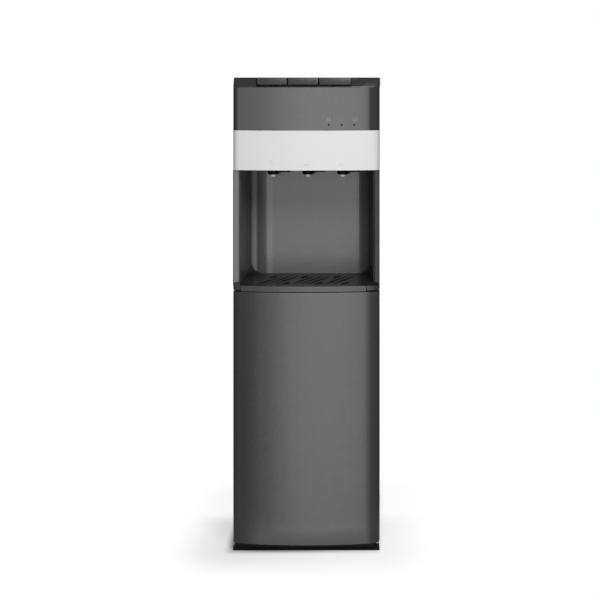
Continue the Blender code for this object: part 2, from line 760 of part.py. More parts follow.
def make_rear_panel():
    """Back cover with vents and the holes of its fittings."""
    half = ROOM_HALF
    bottom = PAN_TOP + GAP
    panel = add_object("rear_panel", block((-half, REAR_FACE, bottom),
                                           (half, BODY_REAR, PANEL_TOP)), GREY_STEEL)
    slots = []
    for column in (-1, 1):
        for row in range(VENT_COUNT):
            low_z = VENT_BOTTOM + row * VENT_PITCH
            centre = column * VENT_X
            slots.append(block((centre - VENT_LENGTH / 2, REAR_FACE - OVERRUN, low_z),
                               (centre + VENT_LENGTH / 2, BODY_REAR + OVERRUN, low_z + VENT_HEIGHT)))
    cut(panel, merged(slots))
    wide = (SWITCH_PITCH + ROCKER_WIDTH) / 2 + ROCKER_FRAME
    tall = ROCKER_HEIGHT / 2 + ROCKER_FRAME
    join(panel, block((SWITCH_X - wide, BODY_REAR - REAR_SHEET / 2, SWITCH_Z - tall),
                      (SWITCH_X + wide, BODY_REAR + ROCKER_FRAME_RISE, SWITCH_Z + tall)))
    spigot = [(DRAIN_PIPE_RADIUS, -REAR_SHEET / 2), (DRAIN_PIPE_RADIUS, DRAIN_PIPE_LENGTH)]
    join(panel, turned(spigot, (DRAIN_X, BODY_REAR, DRAIN_Z), "Y"))
    holes = []
    for step in (-0.5, 0.5):
        centre = SWITCH_X + step * SWITCH_PITCH
        wide = ROCKER_WIDTH / 2 + ROCKER_CLEAR
        tall = ROCKER_HEIGHT / 2 + ROCKER_CLEAR
        holes.append(block((centre - wide, REAR_FACE - OVERRUN, SWITCH_Z - tall),
                           (centre + wide, BODY_REAR + OVERRUN, SWITCH_Z + tall)))
    holes.append(round_hole_y(GLAND_X, GLAND_Z, GLAND_RADIUS + GAP))
    holes.append(turned([(DRAIN_PIPE_BORE, -REAR_SHEET - OVERRUN),
                         (DRAIN_PIPE_BORE, DRAIN_PIPE_LENGTH + OVERRUN)],
                        (DRAIN_X, BODY_REAR, DRAIN_Z), "Y"))
    holes.append(round_hole_y(COMPRESSOR_X, discharge_z(), CONDENSER_TUBE + TRAY_CLEAR))
    holes.append(round_hole_y(DRIER_X, CAPILLARY_Z, CAPILLARY + TRAY_CLEAR))
    cut(panel, merged(holes))


# Door


def make_door_shell():
    """Bowed outer door, hollow behind, solid along the hinge stile."""
    back_y = FRONT_Y + DOOR_DEPTH
    shell = add_object("door_shell", prism(front_outline(back_y), DOOR_BOTTOM, DOOR_TOP),
                       GREY_PLASTIC)
    line = [(x, y) for x, y in front_line(DOOR_SKIN) if x < HALF - DOOR_STILE]
    last = HALF - DOOR_STILE
    pocket = line + [(last, front_y_at(last, DOOR_SKIN)), (last, back_y + OVERRUN),
                     (-HALF + DOOR_SKIN, back_y + OVERRUN)]
    cut(shell, prism(pocket, DOOR_BOTTOM + DOOR_SKIN, DOOR_TOP - DOOR_SKIN))
    hole = PIN_RADIUS + GAP
    x, y = hinge_xy()
    cut(shell, turned([(hole, 0), (hole, PIN_DEPTH + GAP + OVERRUN)],
                      (x, y, DOOR_BOTTOM - OVERRUN), sides=PIN_SIDES))
    cut(shell, turned([(hole, 0), (hole, PIN_DEPTH + GAP + OVERRUN)],
                      (x, y, DOOR_TOP - PIN_DEPTH - GAP), sides=PIN_SIDES))


def hinge_xy():
    """Place of the door's upright axis."""
    return HALF - HINGE_INSET_X, FRONT_Y + DOOR_DEPTH - HINGE_INSET_Y


def make_door_inner_panel():
    """Flat liner that closes the back of the door."""
    back_y = FRONT_Y + DOOR_DEPTH
    low_x = -HALF + DOOR_SKIN + GAP
    high_x = HALF - DOOR_STILE - GAP
    low_z = DOOR_BOTTOM + DOOR_SKIN + GAP
    high_z = DOOR_TOP - DOOR_SKIN - GAP
    liner = add_object("door_inner_panel", block((low_x, back_y - DOOR_LINER, low_z),
                                                 (high_x, back_y, high_z)), DARK_PLASTIC)
    x = magnet_x()
    wide = MAGNET_WIDTH / 2 + GAP
    tall = MAGNET_HEIGHT / 2 + GAP
    cut(liner, block((x - wide, back_y - DOOR_LINER - OVERRUN, MAGNET_Z - tall),
                     (x + wide, back_y + OVERRUN, MAGNET_Z + tall)))


def magnet_x():
    """Centre of the magnet, in front of the left flange."""
    return -CABINET_HALF + FLANGE - MAGNET_WIDTH / 2


def make_door_magnet():
    """Magnet that holds the door shut against the steel flange."""
    back_y = FRONT_Y + DOOR_DEPTH
    x = magnet_x()
    magnet = block((x - MAGNET_WIDTH / 2, back_y - DOOR_LINER, MAGNET_Z - MAGNET_HEIGHT / 2),
                   (x + MAGNET_WIDTH / 2, CABINET_FRONT - GAP, MAGNET_Z + MAGNET_HEIGHT / 2))
    add_object("door_magnet", magnet, BLACK_PLASTIC)


def make_hinge_bracket():
    """Lower hinge bracket with its collar and pin."""
    x, y = hinge_xy()
    plate_z = PAN_TOP + GAP
    plate = block((x - BRACKET_WIDTH / 2 - BRACKET_WIDTH / 4, y - BRACKET_WIDTH / 4, plate_z),
                  (x + PIN_RADIUS, CABINET_FRONT - GAP, plate_z + BRACKET_PLATE))
    bracket = add_object("door_hinge_bracket", plate, ZINC)
    collar_top = DOOR_BOTTOM - GAP
    post = [(COLLAR_RADIUS, plate_z), (COLLAR_RADIUS, collar_top), (PIN_RADIUS, collar_top),
            (PIN_RADIUS, DOOR_BOTTOM + PIN_DEPTH - GAP)]
    join(bracket, turned(post, (x, y, 0), sides=PIN_SIDES))


# Alcove


def fillet_points(reach_in=0.0):
    """Right-hand back corner of the alcove, from the flat back to the ridge."""
    wide = FILLET_WIDTH
    points = []
    for step in range(ALCOVE_STEPS + 1):
        angle = math.pi / 2 * (1 - step / ALCOVE_STEPS)
        points.append((FLAT_HALF + (wide - reach_in) * math.cos(angle),
                       RIDGE_Y + (FILLET_DEPTH - reach_in) * math.sin(angle)))
    return points


def wall_points(reach_in=0.0):
    """Right-hand side wall from the ridge to the lip of the pillar, curving outwards."""
    end_y = nose_points()[0][1] + LIP_ROUND * (1 - LIP_BULGE_SHARE)
    points = []
    for step in range(ALCOVE_STEPS + 1):
        share = step / ALCOVE_STEPS
        curve = math.sin(math.pi / 2 * share ** WALL_CURVE_SHARE)
        points.append((ALCOVE_HALF + (LIP_HALF - ALCOVE_HALF) * curve - reach_in,
                       RIDGE_Y + (end_y - RIDGE_Y) * share))
    return points


def nose_points():
    """Face of the right-hand pillar, turned a little inwards, with a round outer edge."""
    reach = CORNER_RADIUS - SHELL_WALL - GAP
    edge_x = HALF - CORNER_RADIUS + (reach - NOSE_ROUND) * math.cos(NOSE_TURN)
    edge_y = corner_centre_y() - (reach - NOSE_ROUND) * math.sin(NOSE_TURN)
    flat_x = LIP_HALF + LIP_ROUND
    flat_y = edge_y - NOSE_ROUND + (edge_x - flat_x) * math.tan(NOSE_LEAN)
    points = [(LIP_HALF + LIP_ROUND * LIP_BULGE_SHARE, flat_y + LIP_ROUND * LIP_BULGE_SHARE),
              (flat_x, flat_y)]
    for step in range(NOSE_STEPS + 1):
        angle = math.pi / 2 + (NOSE_TURN - math.pi / 2) * step / NOSE_STEPS
        points.append((edge_x + NOSE_ROUND * math.cos(angle), edge_y - NOSE_ROUND * math.sin(angle)))
    return points + [(CABINET_HALF, corner_centre_y())]


def make_alcove():
    """Back moulding and two side walls with their pillars."""
    bottom = DECK_TOP + GAP
    top = BAND_BOTTOM + HEAD_FLOOR_LIFT - GAP
    fillet = fillet_points()
    back_path = [(-x, y) for x, y in reversed(fillet)] + fillet
    plan = strip_outline(list(reversed(back_path)), ALCOVE_SHEET)
    add_object("alcove_back", prism(plan, bottom, top), GREY_PLASTIC)
    visible = wall_points() + nose_points()
    visible[0] = (ALCOVE_HALF, RIDGE_Y - GAP)
    visible.append((CABINET_HALF, CABINET_FRONT - GAP))
    solid_y = corner_centre_y()
    inner = [(x + ALCOVE_SHEET, y) for x, y in wall_points() if y > solid_y]
    inner[0] = (ALCOVE_HALF + ALCOVE_SHEET, RIDGE_Y - GAP)
    inner.append((LIP_HALF + ALCOVE_SHEET, solid_y))
    rear = [(CABINET_HALF - ALCOVE_SHEET, CABINET_FRONT - GAP),
            (CABINET_HALF - ALCOVE_SHEET, solid_y)]
    outline = visible + rear + list(reversed(inner))
    for side in ("left", "right"):
        plan = outline if side == "right" else mirrored(outline)
        wall = add_object("alcove_side_" + side, prism(plan, bottom, top), GREY_PLASTIC)
        edge = side_x(side) * ALCOVE_HALF
        outer = side_x(side) * (HALF + OVERRUN)
        cut(wall, block((min(edge, outer), FRONT_Y, bottom - OVERRUN),
                        (max(edge, outer), CABINET_FRONT + OVERRUN + GAP, BLOCK_TOP + GAP)))


def tray_outline(clear=0.0):
    """Plan of the tray behind its strip, with round back corners."""
    half = TRAY_HALF + clear
    rear = BACK_Y - TRAY_REAR_MARGIN + clear
    radius = FILLET_DEPTH + clear
    points = []
    for step in range(ALCOVE_STEPS + 1):
        angle = math.pi / 2 * step / ALCOVE_STEPS
        points.append((half - radius + radius * math.cos(angle),
                       rear - radius + radius * math.sin(angle)))
    points += [(-x, y) for x, y in reversed(points)]
    return points


def strip_back_y():
    """Depth of the back of the tray's front strip."""
    return front_y_at(max(-STRIP_LEFT, STRIP_RIGHT)) + STRIP_DEPTH


def front_block_outline(side):
    """Plan of a corner block beside the tray's strip."""
    rear = CABINET_FRONT + OVERRUN
    if side == "right":
        edge = STRIP_RIGHT + SLOT_WIDTH
        line = [point for point in front_line() if point[0] > edge]
        return [(edge, front_y_at(edge))] + line + [(HALF, CABINET_FRONT - GAP),
                                                   (ROOM_HALF, CABINET_FRONT - GAP),
                                                   (ROOM_HALF, rear), (edge, rear)]
    edge = STRIP_LEFT - SLOT_WIDTH
    line = [point for point in front_line() if point[0] < edge]
    return [(edge, rear), (-ROOM_HALF, rear),
            (-ROOM_HALF, CABINET_FRONT - GAP),
            (-HALF, CABINET_FRONT - GAP)] + line + [(edge, front_y_at(edge))]


def horn_solid(side):
    """Thin upstand along the wall that rises to a horn at the ridge and falls to the back."""
    wall = list(reversed(wall_points(GAP)))[1:]
    fillet = list(reversed(fillet_points(GAP)))[1:]
    path = wall + fillet
    tops = []
    for index in range(len(wall)):
        share = index / (len(wall) - 1)
        tops.append(BLOCK_TOP + (HORN_TOP - BLOCK_TOP) * share ** 3)
    for index in range(len(fillet)):
        share = (index + 1) / len(fillet)
        tops.append(HORN_TOP + (DECK_TOP - HORN_TOP) * math.sin(math.pi / 2 * share))
    tops[-1] = DECK_TOP + GAP * 2
    turn = side_x(side)
    made = bmesh.new()
    rows = []
    for index, point in enumerate(path):
        before = Vector(path[max(index - 1, 0)])
        after = Vector(path[min(index + 1, len(path) - 1)])
        along = (after - before).normalized()
        near = Vector(point) + Vector((-along.y, along.x)) * HORN_WALL
        low = DECK_TOP - HORN_ROOT
        corners = [(point[0], point[1], low), (near.x, near.y, low),
                   (near.x, near.y, tops[index]), (point[0], point[1], tops[index])]
        rows.append([made.verts.new((turn * x, y, z)) for x, y, z in corners])
    for first, second in zip(rows, rows[1:]):
        for corner in range(4):
            follow = (corner + 1) % 4
            made.faces.new((first[corner], first[follow], second[follow], second[corner]))
    made.faces.new(rows[0])
    made.faces.new(list(reversed(rows[-1])))
    return made


def make_tray_surround():
    """Dark housing under the alcove: deck, corner blocks, and horned upstands."""
    half = ROOM_HALF
    bottom = SHELF_BOTTOM + SHELF_SHEET + GAP
    rear = BACK_Y - GAP
    deck = block((-half, CABINET_FRONT, bottom), (half, rear, DECK_TOP))
    surround = add_object("tray_surround", deck, DARK_PLASTIC)
    shoulders = block((STRIP_LEFT - SLOT_WIDTH, strip_back_y() + GAP, BLOCK_BOTTOM),
                      (STRIP_RIGHT + SLOT_WIDTH, CABINET_FRONT + OVERRUN, DECK_TOP))
    join(surround, shoulders)
    for side in ("left", "right"):
        join(surround, prism(front_block_outline(side), BLOCK_BOTTOM, BLOCK_TOP))
        join(surround, horn_solid(side))
    seat = prism([(TRAY_HALF + TRAY_CLEAR, FRONT_Y - OVERRUN)] + tray_outline(TRAY_CLEAR)
                 + [(-TRAY_HALF - TRAY_CLEAR, FRONT_Y - OVERRUN)],
                 STRIP_BOTTOM - GAP, HORN_TOP + OVERRUN)
    cut(surround, seat)
    x, y = hinge_xy()
    join(surround, turned([(PIN_RADIUS, DOOR_TOP - PIN_DEPTH), (PIN_RADIUS, BLOCK_BOTTOM + PIN_ROOT)],
                          (x, y, 0), sides=PIN_SIDES))


def make_drip_tray():
    """Shallow pan with the strip that closes the front, and a ledge for its grille."""
    body = [(TRAY_HALF, strip_back_y() - OVERRUN)] + tray_outline()
    body += [(-TRAY_HALF, strip_back_y() - OVERRUN)]
    tray = add_object("drip_tray", prism(body, STRIP_BOTTOM, DECK_TOP), DARK_PLASTIC)
    line = [point for point in front_line() if STRIP_LEFT < point[0] < STRIP_RIGHT]
    plan = [(STRIP_LEFT, front_y_at(STRIP_LEFT))] + line
    plan += [(STRIP_RIGHT, front_y_at(STRIP_RIGHT)), (STRIP_RIGHT, strip_back_y()),
             (STRIP_LEFT, strip_back_y())]
    join(tray, prism(plan, STRIP_BOTTOM, STRIP_TOP))
    ledge_top = DECK_TOP - GRILLE_DROP - GRILLE_SHEET - GAP
    for wall, low in ((TRAY_WALL + TRAY_LEDGE, STRIP_BOTTOM + TRAY_FLOOR), (TRAY_WALL, ledge_top)):
        hollow = [(TRAY_HALF - wall, strip_back_y() + wall)] + tray_outline(-wall)
        hollow += [(wall - TRAY_HALF, strip_back_y() + wall)]
        cut(tray, prism(hollow, low, DECK_TOP + OVERRUN))


def leaf(centre_x, centre_y, length, width, bottom, top):
    """Upright cutter with a slanted leaf-shaped plan."""
    points = []
    for sign in (1, -1):
        for step in range(LEAF_STEPS):
            share = step / LEAF_STEPS
            along = sign * length * (0.5 - share)
            across = sign * width / 2 * math.sin(math.pi * share)
            points.append((centre_x + along * math.sin(LEAF_LEAN) + across * math.cos(LEAF_LEAN),
                           centre_y + along * math.cos(LEAF_LEAN) - across * math.sin(LEAF_LEAN)))
    return prism(points, bottom, top)


def make_drip_grille():
    """Lift-off grille with long slanted leaf slots and short wide ones between them."""
    clear = -TRAY_WALL - GAP
    front = strip_back_y() + TRAY_WALL + GAP
    plan = [(TRAY_HALF + clear, front)] + tray_outline(clear) + [(-TRAY_HALF - clear, front)]
    top = DECK_TOP - GRILLE_DROP
    grille = add_object("drip_grille", prism(plan, top - GRILLE_SHEET, top), DARK_PLASTIC)
    rear = BACK_Y - TRAY_REAR_MARGIN + clear
    deep = rear - front
    low = top - GRILLE_SHEET - OVERRUN
    slots = []
    for share in LEAF_PLACE_SHARES:
        length = LEAF_LENGTH_SHARE * deep / math.cos(LEAF_LEAN)
        slots.append(leaf(share * TRAY_HALF, front + deep / 2, length, LEAF_WIDTH, low, top + OVERRUN))
    for share, row in PETAL_PLACE_SHARES:
        length = PETAL_LENGTH_SHARE * deep / math.cos(LEAF_LEAN)
        x = share * TRAY_HALF + (row - 0.5) * deep * math.tan(LEAF_LEAN)
        slots.append(leaf(x, front + row * deep, length, PETAL_WIDTH, low, top + OVERRUN))
    cut(grille, merged(slots))


# Taps


def tap_places():
    """Name and place across of each tap."""
    return (("cold", -TAP_PITCH), ("room", 0.0), ("hot", TAP_PITCH))


def head_floor_bottom():
    """Underside of the plate that roofs the alcove."""
    return BAND_BOTTOM + HEAD_FLOOR_LIFT


def make_head_floor():
    """Plate that roofs the alcove and carries tanks and valves."""
    half = ROOM_HALF
    line = front_line(SHELL_WALL + GAP)
    line = [point for point in line if abs(point[0]) < half]
    rear = ROOM_REAR
    plan = [(-half, CABINET_FRONT)] + line + [(half, CABINET_FRONT), (half, rear), (-half, rear)]
    bottom = head_floor_bottom()
    floor = add_object("head_floor", prism(plan, bottom, bottom + HEAD_FLOOR_SHEET), BLACK_PLASTIC)
    holes = []
    span = HEAD_FLOOR_SHEET + 2 * OVERRUN
    low = bottom - OVERRUN
    for _, x in tap_places():
        hole = SPOUT_NECK + GAP
        holes.append(turned([(hole, 0), (hole, span)], (x, TAP_Y, low)))
    for x, y, radius in floor_passages():
        holes.append(turned([(radius + TRAY_CLEAR, 0), (radius + TRAY_CLEAR, span)], (x, y, low)))
    cut(floor, merged(holes))


def floor_passages():
    """Places where pipes pass the head floor: evaporator return, feed hose, capillary."""
    return ((COLD_X, COLD_Y + COIL_RADIUS, COIL_TUBE), (*feed_riser(), HOSE_RADIUS),
            (*capillary_riser(), CAPILLARY))


def make_taps():
    """Shroud, spout and valve of each tap."""
    ceiling = head_floor_bottom()
    seat = ceiling + HEAD_FLOOR_SHEET
    for name, x in tap_places():
        top = ceiling - GAP
        low = top - SHROUD_DROP
        shape = [(SHROUD_LOW_RADIUS - SHROUD_EDGE, low), (SHROUD_LOW_RADIUS, low + SHROUD_EDGE),
                 (SHROUD_TOP_RADIUS, top)]
        shroud = turned(shape, (x, TAP_Y, 0))
        shroud = add_object("tap_shroud_" + name, shroud, BLACK_PLASTIC)
        join(shroud, fin_solid(x, top))
        bore = SPOUT_NECK + GAP
        cut(shroud, turned([(bore, low - OVERRUN), (bore, top + OVERRUN)], (x, TAP_Y, 0)))
        tip_top = low - GAP
        tip_low = tip_top - SPOUT_DROP
        shape = [(SPOUT_RADIUS - SPOUT_EDGE, tip_low), (SPOUT_RADIUS, tip_low + SPOUT_EDGE),
                 (SPOUT_RADIUS, tip_top), (SPOUT_NECK, tip_top), (SPOUT_NECK, seat)]
        spout = add_object("tap_spout_" + name, turned(shape, (x, TAP_Y, 0)), WHITE_PLASTIC)
        cut(spout, turned([(SPOUT_BORE, tip_low - OVERRUN), (SPOUT_BORE, seat + OVERRUN)],
                          (x, TAP_Y, 0), sides=PORT_SIDES))
        make_valve(name, x, seat + GAP)


def fin_solid(x, top):
    """Wedge beside a shroud, under the ceiling: deep at the shroud, shallow further out."""
    shallow = top - SHROUD_DROP * FIN_DROP_SHARE
    deep = top - SHROUD_DROP + FIN_STEP
    end = x + FIN_REACH_SHARE * TAP_PITCH
    side = [(x, top), (end, top), (end, shallow), ((x + end) / 2, shallow),
            (x + SHROUD_LOW_RADIUS, deep), (x, deep)]
    low = TAP_Y - FIN_DEPTH / 2
    return layered([[(a, low, z) for a, z in side], [(a, low + FIN_DEPTH, z) for a, z in side]])


def valve_port(x):
    """Place of a valve's inlet, seen from above."""
    return x, TAP_Y + VALVE_LENGTH / 4


def make_valve(name, x, bottom):
    """Solenoid valve: body over the spout, coil can behind it and an inlet on top."""
    low = (x - VALVE_WIDTH / 2, TAP_Y - VALVE_LENGTH / 2, bottom)
    high = (x + VALVE_WIDTH / 2, TAP_Y + VALVE_LENGTH / 2, bottom + VALVE_HEIGHT)
    valve = add_object("valve_" + name, block(low, high), WHITE_PLASTIC)
    can_z = bottom + VALVE_HEIGHT / 2
    join(valve, turned([(CAN_RADIUS, -OVERRUN), (CAN_RADIUS, CAN_LENGTH)],
                       (x, TAP_Y + VALVE_LENGTH / 2, can_z), "Y", CAN_SIDES))
    port_x, port_y = valve_port(x)
    join(valve, turned([(PORT_RADIUS, -OVERRUN), (PORT_RADIUS, PORT_LENGTH)],
                       (port_x, port_y, bottom + VALVE_HEIGHT), sides=PORT_SIDES))


def valve_port_top():
    """Height of the top of a valve's inlet."""
    return head_floor_bottom() + HEAD_FLOOR_SHEET + GAP + VALVE_HEIGHT + PORT_LENGTH


# Head


def make_front_band():
    """Pale band over the taps."""
    plan = front_channel(CABINET_FRONT + HEAD_RETURN, SHELL_WALL)
    add_object("front_band", prism(plan, BAND_BOTTOM, BAND_TOP - GAP), WHITE_PLASTIC)


def lens_places():
    """Places across of the three indicator lights."""
    last = HALF - LENS_MARGIN
    return [last - step * LENS_PITCH for step in reversed(range(LENS_COUNT))]


def lens_bar_y():
    """Depth of the front of the light guide's bar."""
    return front_y_at(lens_places()[-1] + LENS_BAR_MARGIN, SHELL_WALL) + GAP


def control_span():
    """Left and right edges of the circuit board behind the lights."""
    places = lens_places()
    return places[0] - CONTROL_MARGIN, places[-1] + CONTROL_MARGIN


def make_head_panel():
    """Grey panel over the band, with holes for the lights and posts for the board."""
    plan = front_channel(CABINET_FRONT + HEAD_RETURN, SHELL_WALL)
    panel = add_object("head_panel", prism(plan, BAND_TOP, PANEL_TOP), GREY_PLASTIC)
    holes = []
    for x in lens_places():
        radius = LENS_RADIUS + GAP
        depth = front_y_at(x)
        holes.append(turned([(radius, 0), (radius, SHELL_WALL + 2 * OVERRUN)],
                            (x, depth - OVERRUN, LENS_Z), "Y", PORT_SIDES))
    cut(panel, merged(holes))
    board_y = control_board_y()
    post_z = LENS_Z + CONTROL_HEIGHT - LENS_BAR_HEIGHT - CONTROL_POST_RADIUS
    for x in control_span():
        inward = CONTROL_POST_RADIUS if x < lens_places()[1] else -CONTROL_POST_RADIUS
        start = front_y_at(x, SHELL_WALL / 2)
        join(panel, turned([(CONTROL_POST_RADIUS, 0), (CONTROL_POST_RADIUS, board_y - GAP - start)],
                           (x + inward, start, post_z), "Y", PORT_SIDES))


def control_board_y():
    """Depth of the front face of the circuit board."""
    return lens_bar_y() + LENS_BAR_DEPTH + GAP


def make_control_board():
    """Circuit board behind the lights, with a relay on its back."""
    left, right = control_span()
    low_z = LENS_Z - LENS_BAR_HEIGHT
    face = control_board_y()
    board = add_object("control_board", block((left, face, low_z),
                                              (right, face + BOARD_SHEET, low_z + CONTROL_HEIGHT)),
                       BOARD_GREEN)
    relay = SWITCH_SIDE
    join(board, block((left + relay, face + BOARD_SHEET / 2, low_z + relay),
                      (left + 2 * relay, face + BOARD_SHEET + relay, low_z + 2 * relay)))


def make_indicator_lenses():
    """One light guide: a bar with three round lenses that reach the panel's face."""
    places = lens_places()
    front = lens_bar_y()
    low = (places[0] - LENS_BAR_MARGIN, front, LENS_Z - LENS_BAR_HEIGHT / 2)
    high = (places[-1] + LENS_BAR_MARGIN, front + LENS_BAR_DEPTH, LENS_Z + LENS_BAR_HEIGHT / 2)
    guide = add_object("indicator_lenses", block(low, high), LENS)
    for x in places:
        face = front_y_at(x) + LENS_RADIUS / 8
        join(guide, turned([(LENS_RADIUS, 0), (LENS_RADIUS, front + LENS_BAR_DEPTH / 2 - face)],
                           (x, face, LENS_Z), "Y", PORT_SIDES))


def cover_ring(z, setback, inset):
    """Ring of the cover: the bowed front moved back, less so at its corners, and narrowed a little."""
    scale = (HALF - inset) / HALF
    ring = []
    for x, y in front_line():
        held = CORNER_HOLD_SHARE * (abs(x) / HALF) ** CORNER_HOLD_POWER
        ring.append((x * scale, y + setback * (1 - held), z))
    rear = BODY_REAR + SHEET - inset
    return ring + [(HALF - inset, rear, z), (-HALF + inset, rear, z)]


def make_top_cover():
    """Lid of the head with a sloped front edge, a notch for the keys and a hollow inside."""
    rings = [cover_ring(COVER_BOTTOM, 0.0, 0.0),
             cover_ring(COVER_BOTTOM + COVER_LIP, COVER_LIP / 4, 0.0),
             cover_ring(HEIGHT - COVER_EDGE, SLOPE_BACK, 0.0),
             cover_ring(HEIGHT - COVER_EDGE / 4, SLOPE_BACK + COVER_EDGE, COVER_EDGE / 3),
             cover_ring(HEIGHT, SLOPE_BACK + 2 * COVER_EDGE, COVER_EDGE)]
    cover = add_object("top_cover", layered(rings), GREY_STEEL)
    inner = CABINET_HALF - COVER_WALL
    hollow_front = KEY_FRONT + KEY_LENGTH + KEY_CLEAR + COVER_ROOF
    cut(cover, block((-inner, hollow_front, COVER_BOTTOM - OVERRUN),
                     (inner, BODY_REAR - COVER_WALL, COVER_CEILING)))
    floor = COVER_BOTTOM + KEY_FLOOR
    spans = key_spans()
    cut(cover, layered([notch_ring(floor, NOTCH_END_CLEAR, NOTCH_END_CLEAR),
                        notch_ring(HEIGHT + OVERRUN, NOTCH_END_CLEAR + NOTCH_LEFT_SLANT,
                                   NOTCH_END_CLEAR + NOTCH_RIGHT_SLANT)]))
    holes = []
    for left, right in spans:
        radius = STEM_RADIUS + KEY_CLEAR
        holes.append(turned([(radius, COVER_BOTTOM - OVERRUN), (radius, floor + OVERRUN)],
                            ((left + right) / 2, STEM_Y, 0)))
    cut(cover, merged(holes))
    for x in board_post_places():
        join(cover, turned([(BOARD_POST_RADIUS, board_top() + GAP),
                            (BOARD_POST_RADIUS, COVER_BOTTOM + KEY_FLOOR / 2)],
                           (x, STEM_Y, 0), sides=PORT_SIDES))


def notch_ring(z, left_clear, right_clear):
    """Level outline of the notch, wider than the keys by a clearance at each end."""
    low_x = key_spans()[0][0] - left_clear
    high_x = key_spans()[-1][1] + right_clear
    rear = KEY_FRONT + KEY_LENGTH + KEY_CLEAR
    return [(low_x, FRONT_Y - OVERRUN, z), (high_x, FRONT_Y - OVERRUN, z), (high_x, rear, z),
            (low_x, rear, z)]


def key_spans():
    """Left and right edge of each key, from left to right."""
    first = KEY_LEFT_MARGIN - HALF
    span = HALF - KEY_RIGHT_MARGIN - first
    edges = [first + share * span for share in KEY_EDGE_SHARES]
    lefts = edges[:1] + [edge + KEY_SEAM / 2 for edge in edges[1:-1]]
    rights = [edge - KEY_SEAM / 2 for edge in edges[1:-1]] + edges[-1:]
    return list(zip(lefts, rights))


def key_bottom():
    """Underside of the keys at rest."""
    return COVER_BOTTOM + KEY_FLOOR + KEY_TRAVEL + KEY_UNDER_CLEAR


def board_top():
    """Top face of the board that holds the key switches."""
    return key_bottom() - STEM_LENGTH - KEY_TRAVEL - KEY_CLEAR - SWITCH_HEIGHT


def board_post_places():
    """Places across of the posts that carry the switch board."""
    return [right + SWITCH_SIDE / 2 for _, right in key_spans()[:-1]]


def make_keys():
    """Three push keys, each with a stem through the cover."""
    names = ("key_left", "key_middle", "key_right")
    for name, (left, right) in zip(names, key_spans()):
        rear = KEY_FRONT + KEY_LENGTH
        top = HEIGHT - COVER_EDGE / 4
        face = []
        for step in range(KEY_STEPS + 1):
            share = step / KEY_STEPS
            bulge = KEY_BOW * math.sin(math.pi * share)
            face.append((left + (right - left) * share, KEY_FRONT - bulge))
        plan = face + [(right, rear), (left, rear)]
        small = [(x, y + KEY_EDGE) if y < rear else (x, y) for x, y in plan]
        rings = [[(x, y, key_bottom()) for x, y in plan],
                 [(x, y, top - 2 * KEY_EDGE) for x, y in plan],
                 [(x, y, top) for x, y in small]]
        key = add_object(name, layered(rings), DARK_PLASTIC)
        join(key, turned([(STEM_RADIUS, key_bottom() - STEM_LENGTH),
                          (STEM_RADIUS, key_bottom() + KEY_EDGE)], ((left + right) / 2, STEM_Y, 0)))


def make_switch_board():
    """Board under the keys with one switch below each stem."""
    top = board_top()
    spans = key_spans()
    low = (spans[0][0] + SWITCH_SIDE, STEM_Y - SWITCH_SIDE, top - BOARD_SHEET)
    high = (spans[-1][1] - SWITCH_SIDE, STEM_Y + SWITCH_SIDE, top)
    board = add_object("switch_board", block(low, high), BOARD_GREEN)
    for left, right in spans:
        x = (left + right) / 2
        half = SWITCH_SIDE / 2
        join(board, block((x - half, STEM_Y - half, top - BOARD_SHEET / 2),
                          (x + half, STEM_Y + half, top + SWITCH_HEIGHT)))


# Cold and hot tanks


def tank_profile(radius, bottom, height, dome):
    """Turned profile of a tank with softly domed ends."""
    return [(radius / 2, bottom), (radius - dome / 2, bottom + dome / 3),
            (radius, bottom + dome), (radius, bottom + height - dome),
            (radius - dome / 2, bottom + height - dome / 3), (radius / 2, bottom + height)]


def cold_ports():
    """Places of the cold tank's ports: feed, cold outlet, room outlet."""
    reach = COLD_RADIUS / 3
    return ((COLD_X + reach, COLD_Y), (COLD_X - reach, COLD_Y - reach / 2),
            (COLD_X + reach / 2, COLD_Y - reach))


def make_cold_tank():
    """Steel cold tank on a foam ring, with three ports on top."""
    bottom = TANK_FLOOR + COLD_LIFT
    tank = add_object("cold_tank", turned(tank_profile(COLD_RADIUS, bottom, COLD_HEIGHT, TANK_DOME),
                                          (COLD_X, COLD_Y, 0), sides=TANK_SIDES), STAINLESS)
    top = bottom + COLD_HEIGHT
    for x, y in cold_ports():
        join(tank, turned([(PORT_RADIUS, top - TANK_DOME / 2), (PORT_RADIUS, top + PORT_LENGTH)],
                          (x, y, 0), sides=PORT_SIDES))
    foot = COLD_RADIUS / 2
    join(tank, turned([(foot, TANK_FLOOR), (foot, bottom + TANK_DOME / 4)],
                      (COLD_X, COLD_Y, 0), sides=TANK_SIDES))


def make_cold_jacket():
    """Foam jacket round the coil, open above and below."""
    top = TANK_FLOOR + COLD_LIFT + COLD_HEIGHT - JACKET_SHORT
    jacket = ring_solid(JACKET_RADIUS, JACKET_RADIUS - JACKET_WALL, (COLD_X, COLD_Y), TANK_FLOOR,
                        top, TANK_SIDES)
    add_object("cold_jacket", jacket, FOAM)


def coil_points():
    """Evaporator: a straight top end, the turns, and the drop to the compressor."""
    low_z = TANK_FLOOR + COLD_LIFT + TANK_DOME
    steps = COIL_TURNS * COIL_STEPS
    turns = []
    for step in range(steps + 1):
        angle = math.pi / 2 - 2 * math.pi * step / COIL_STEPS
        height = low_z + COIL_TURNS * COIL_PITCH * (1 - step / steps)
        turns.append((COLD_X + COIL_RADIUS * math.cos(angle), COLD_Y + COIL_RADIUS * math.sin(angle),
                      height))
    return turns


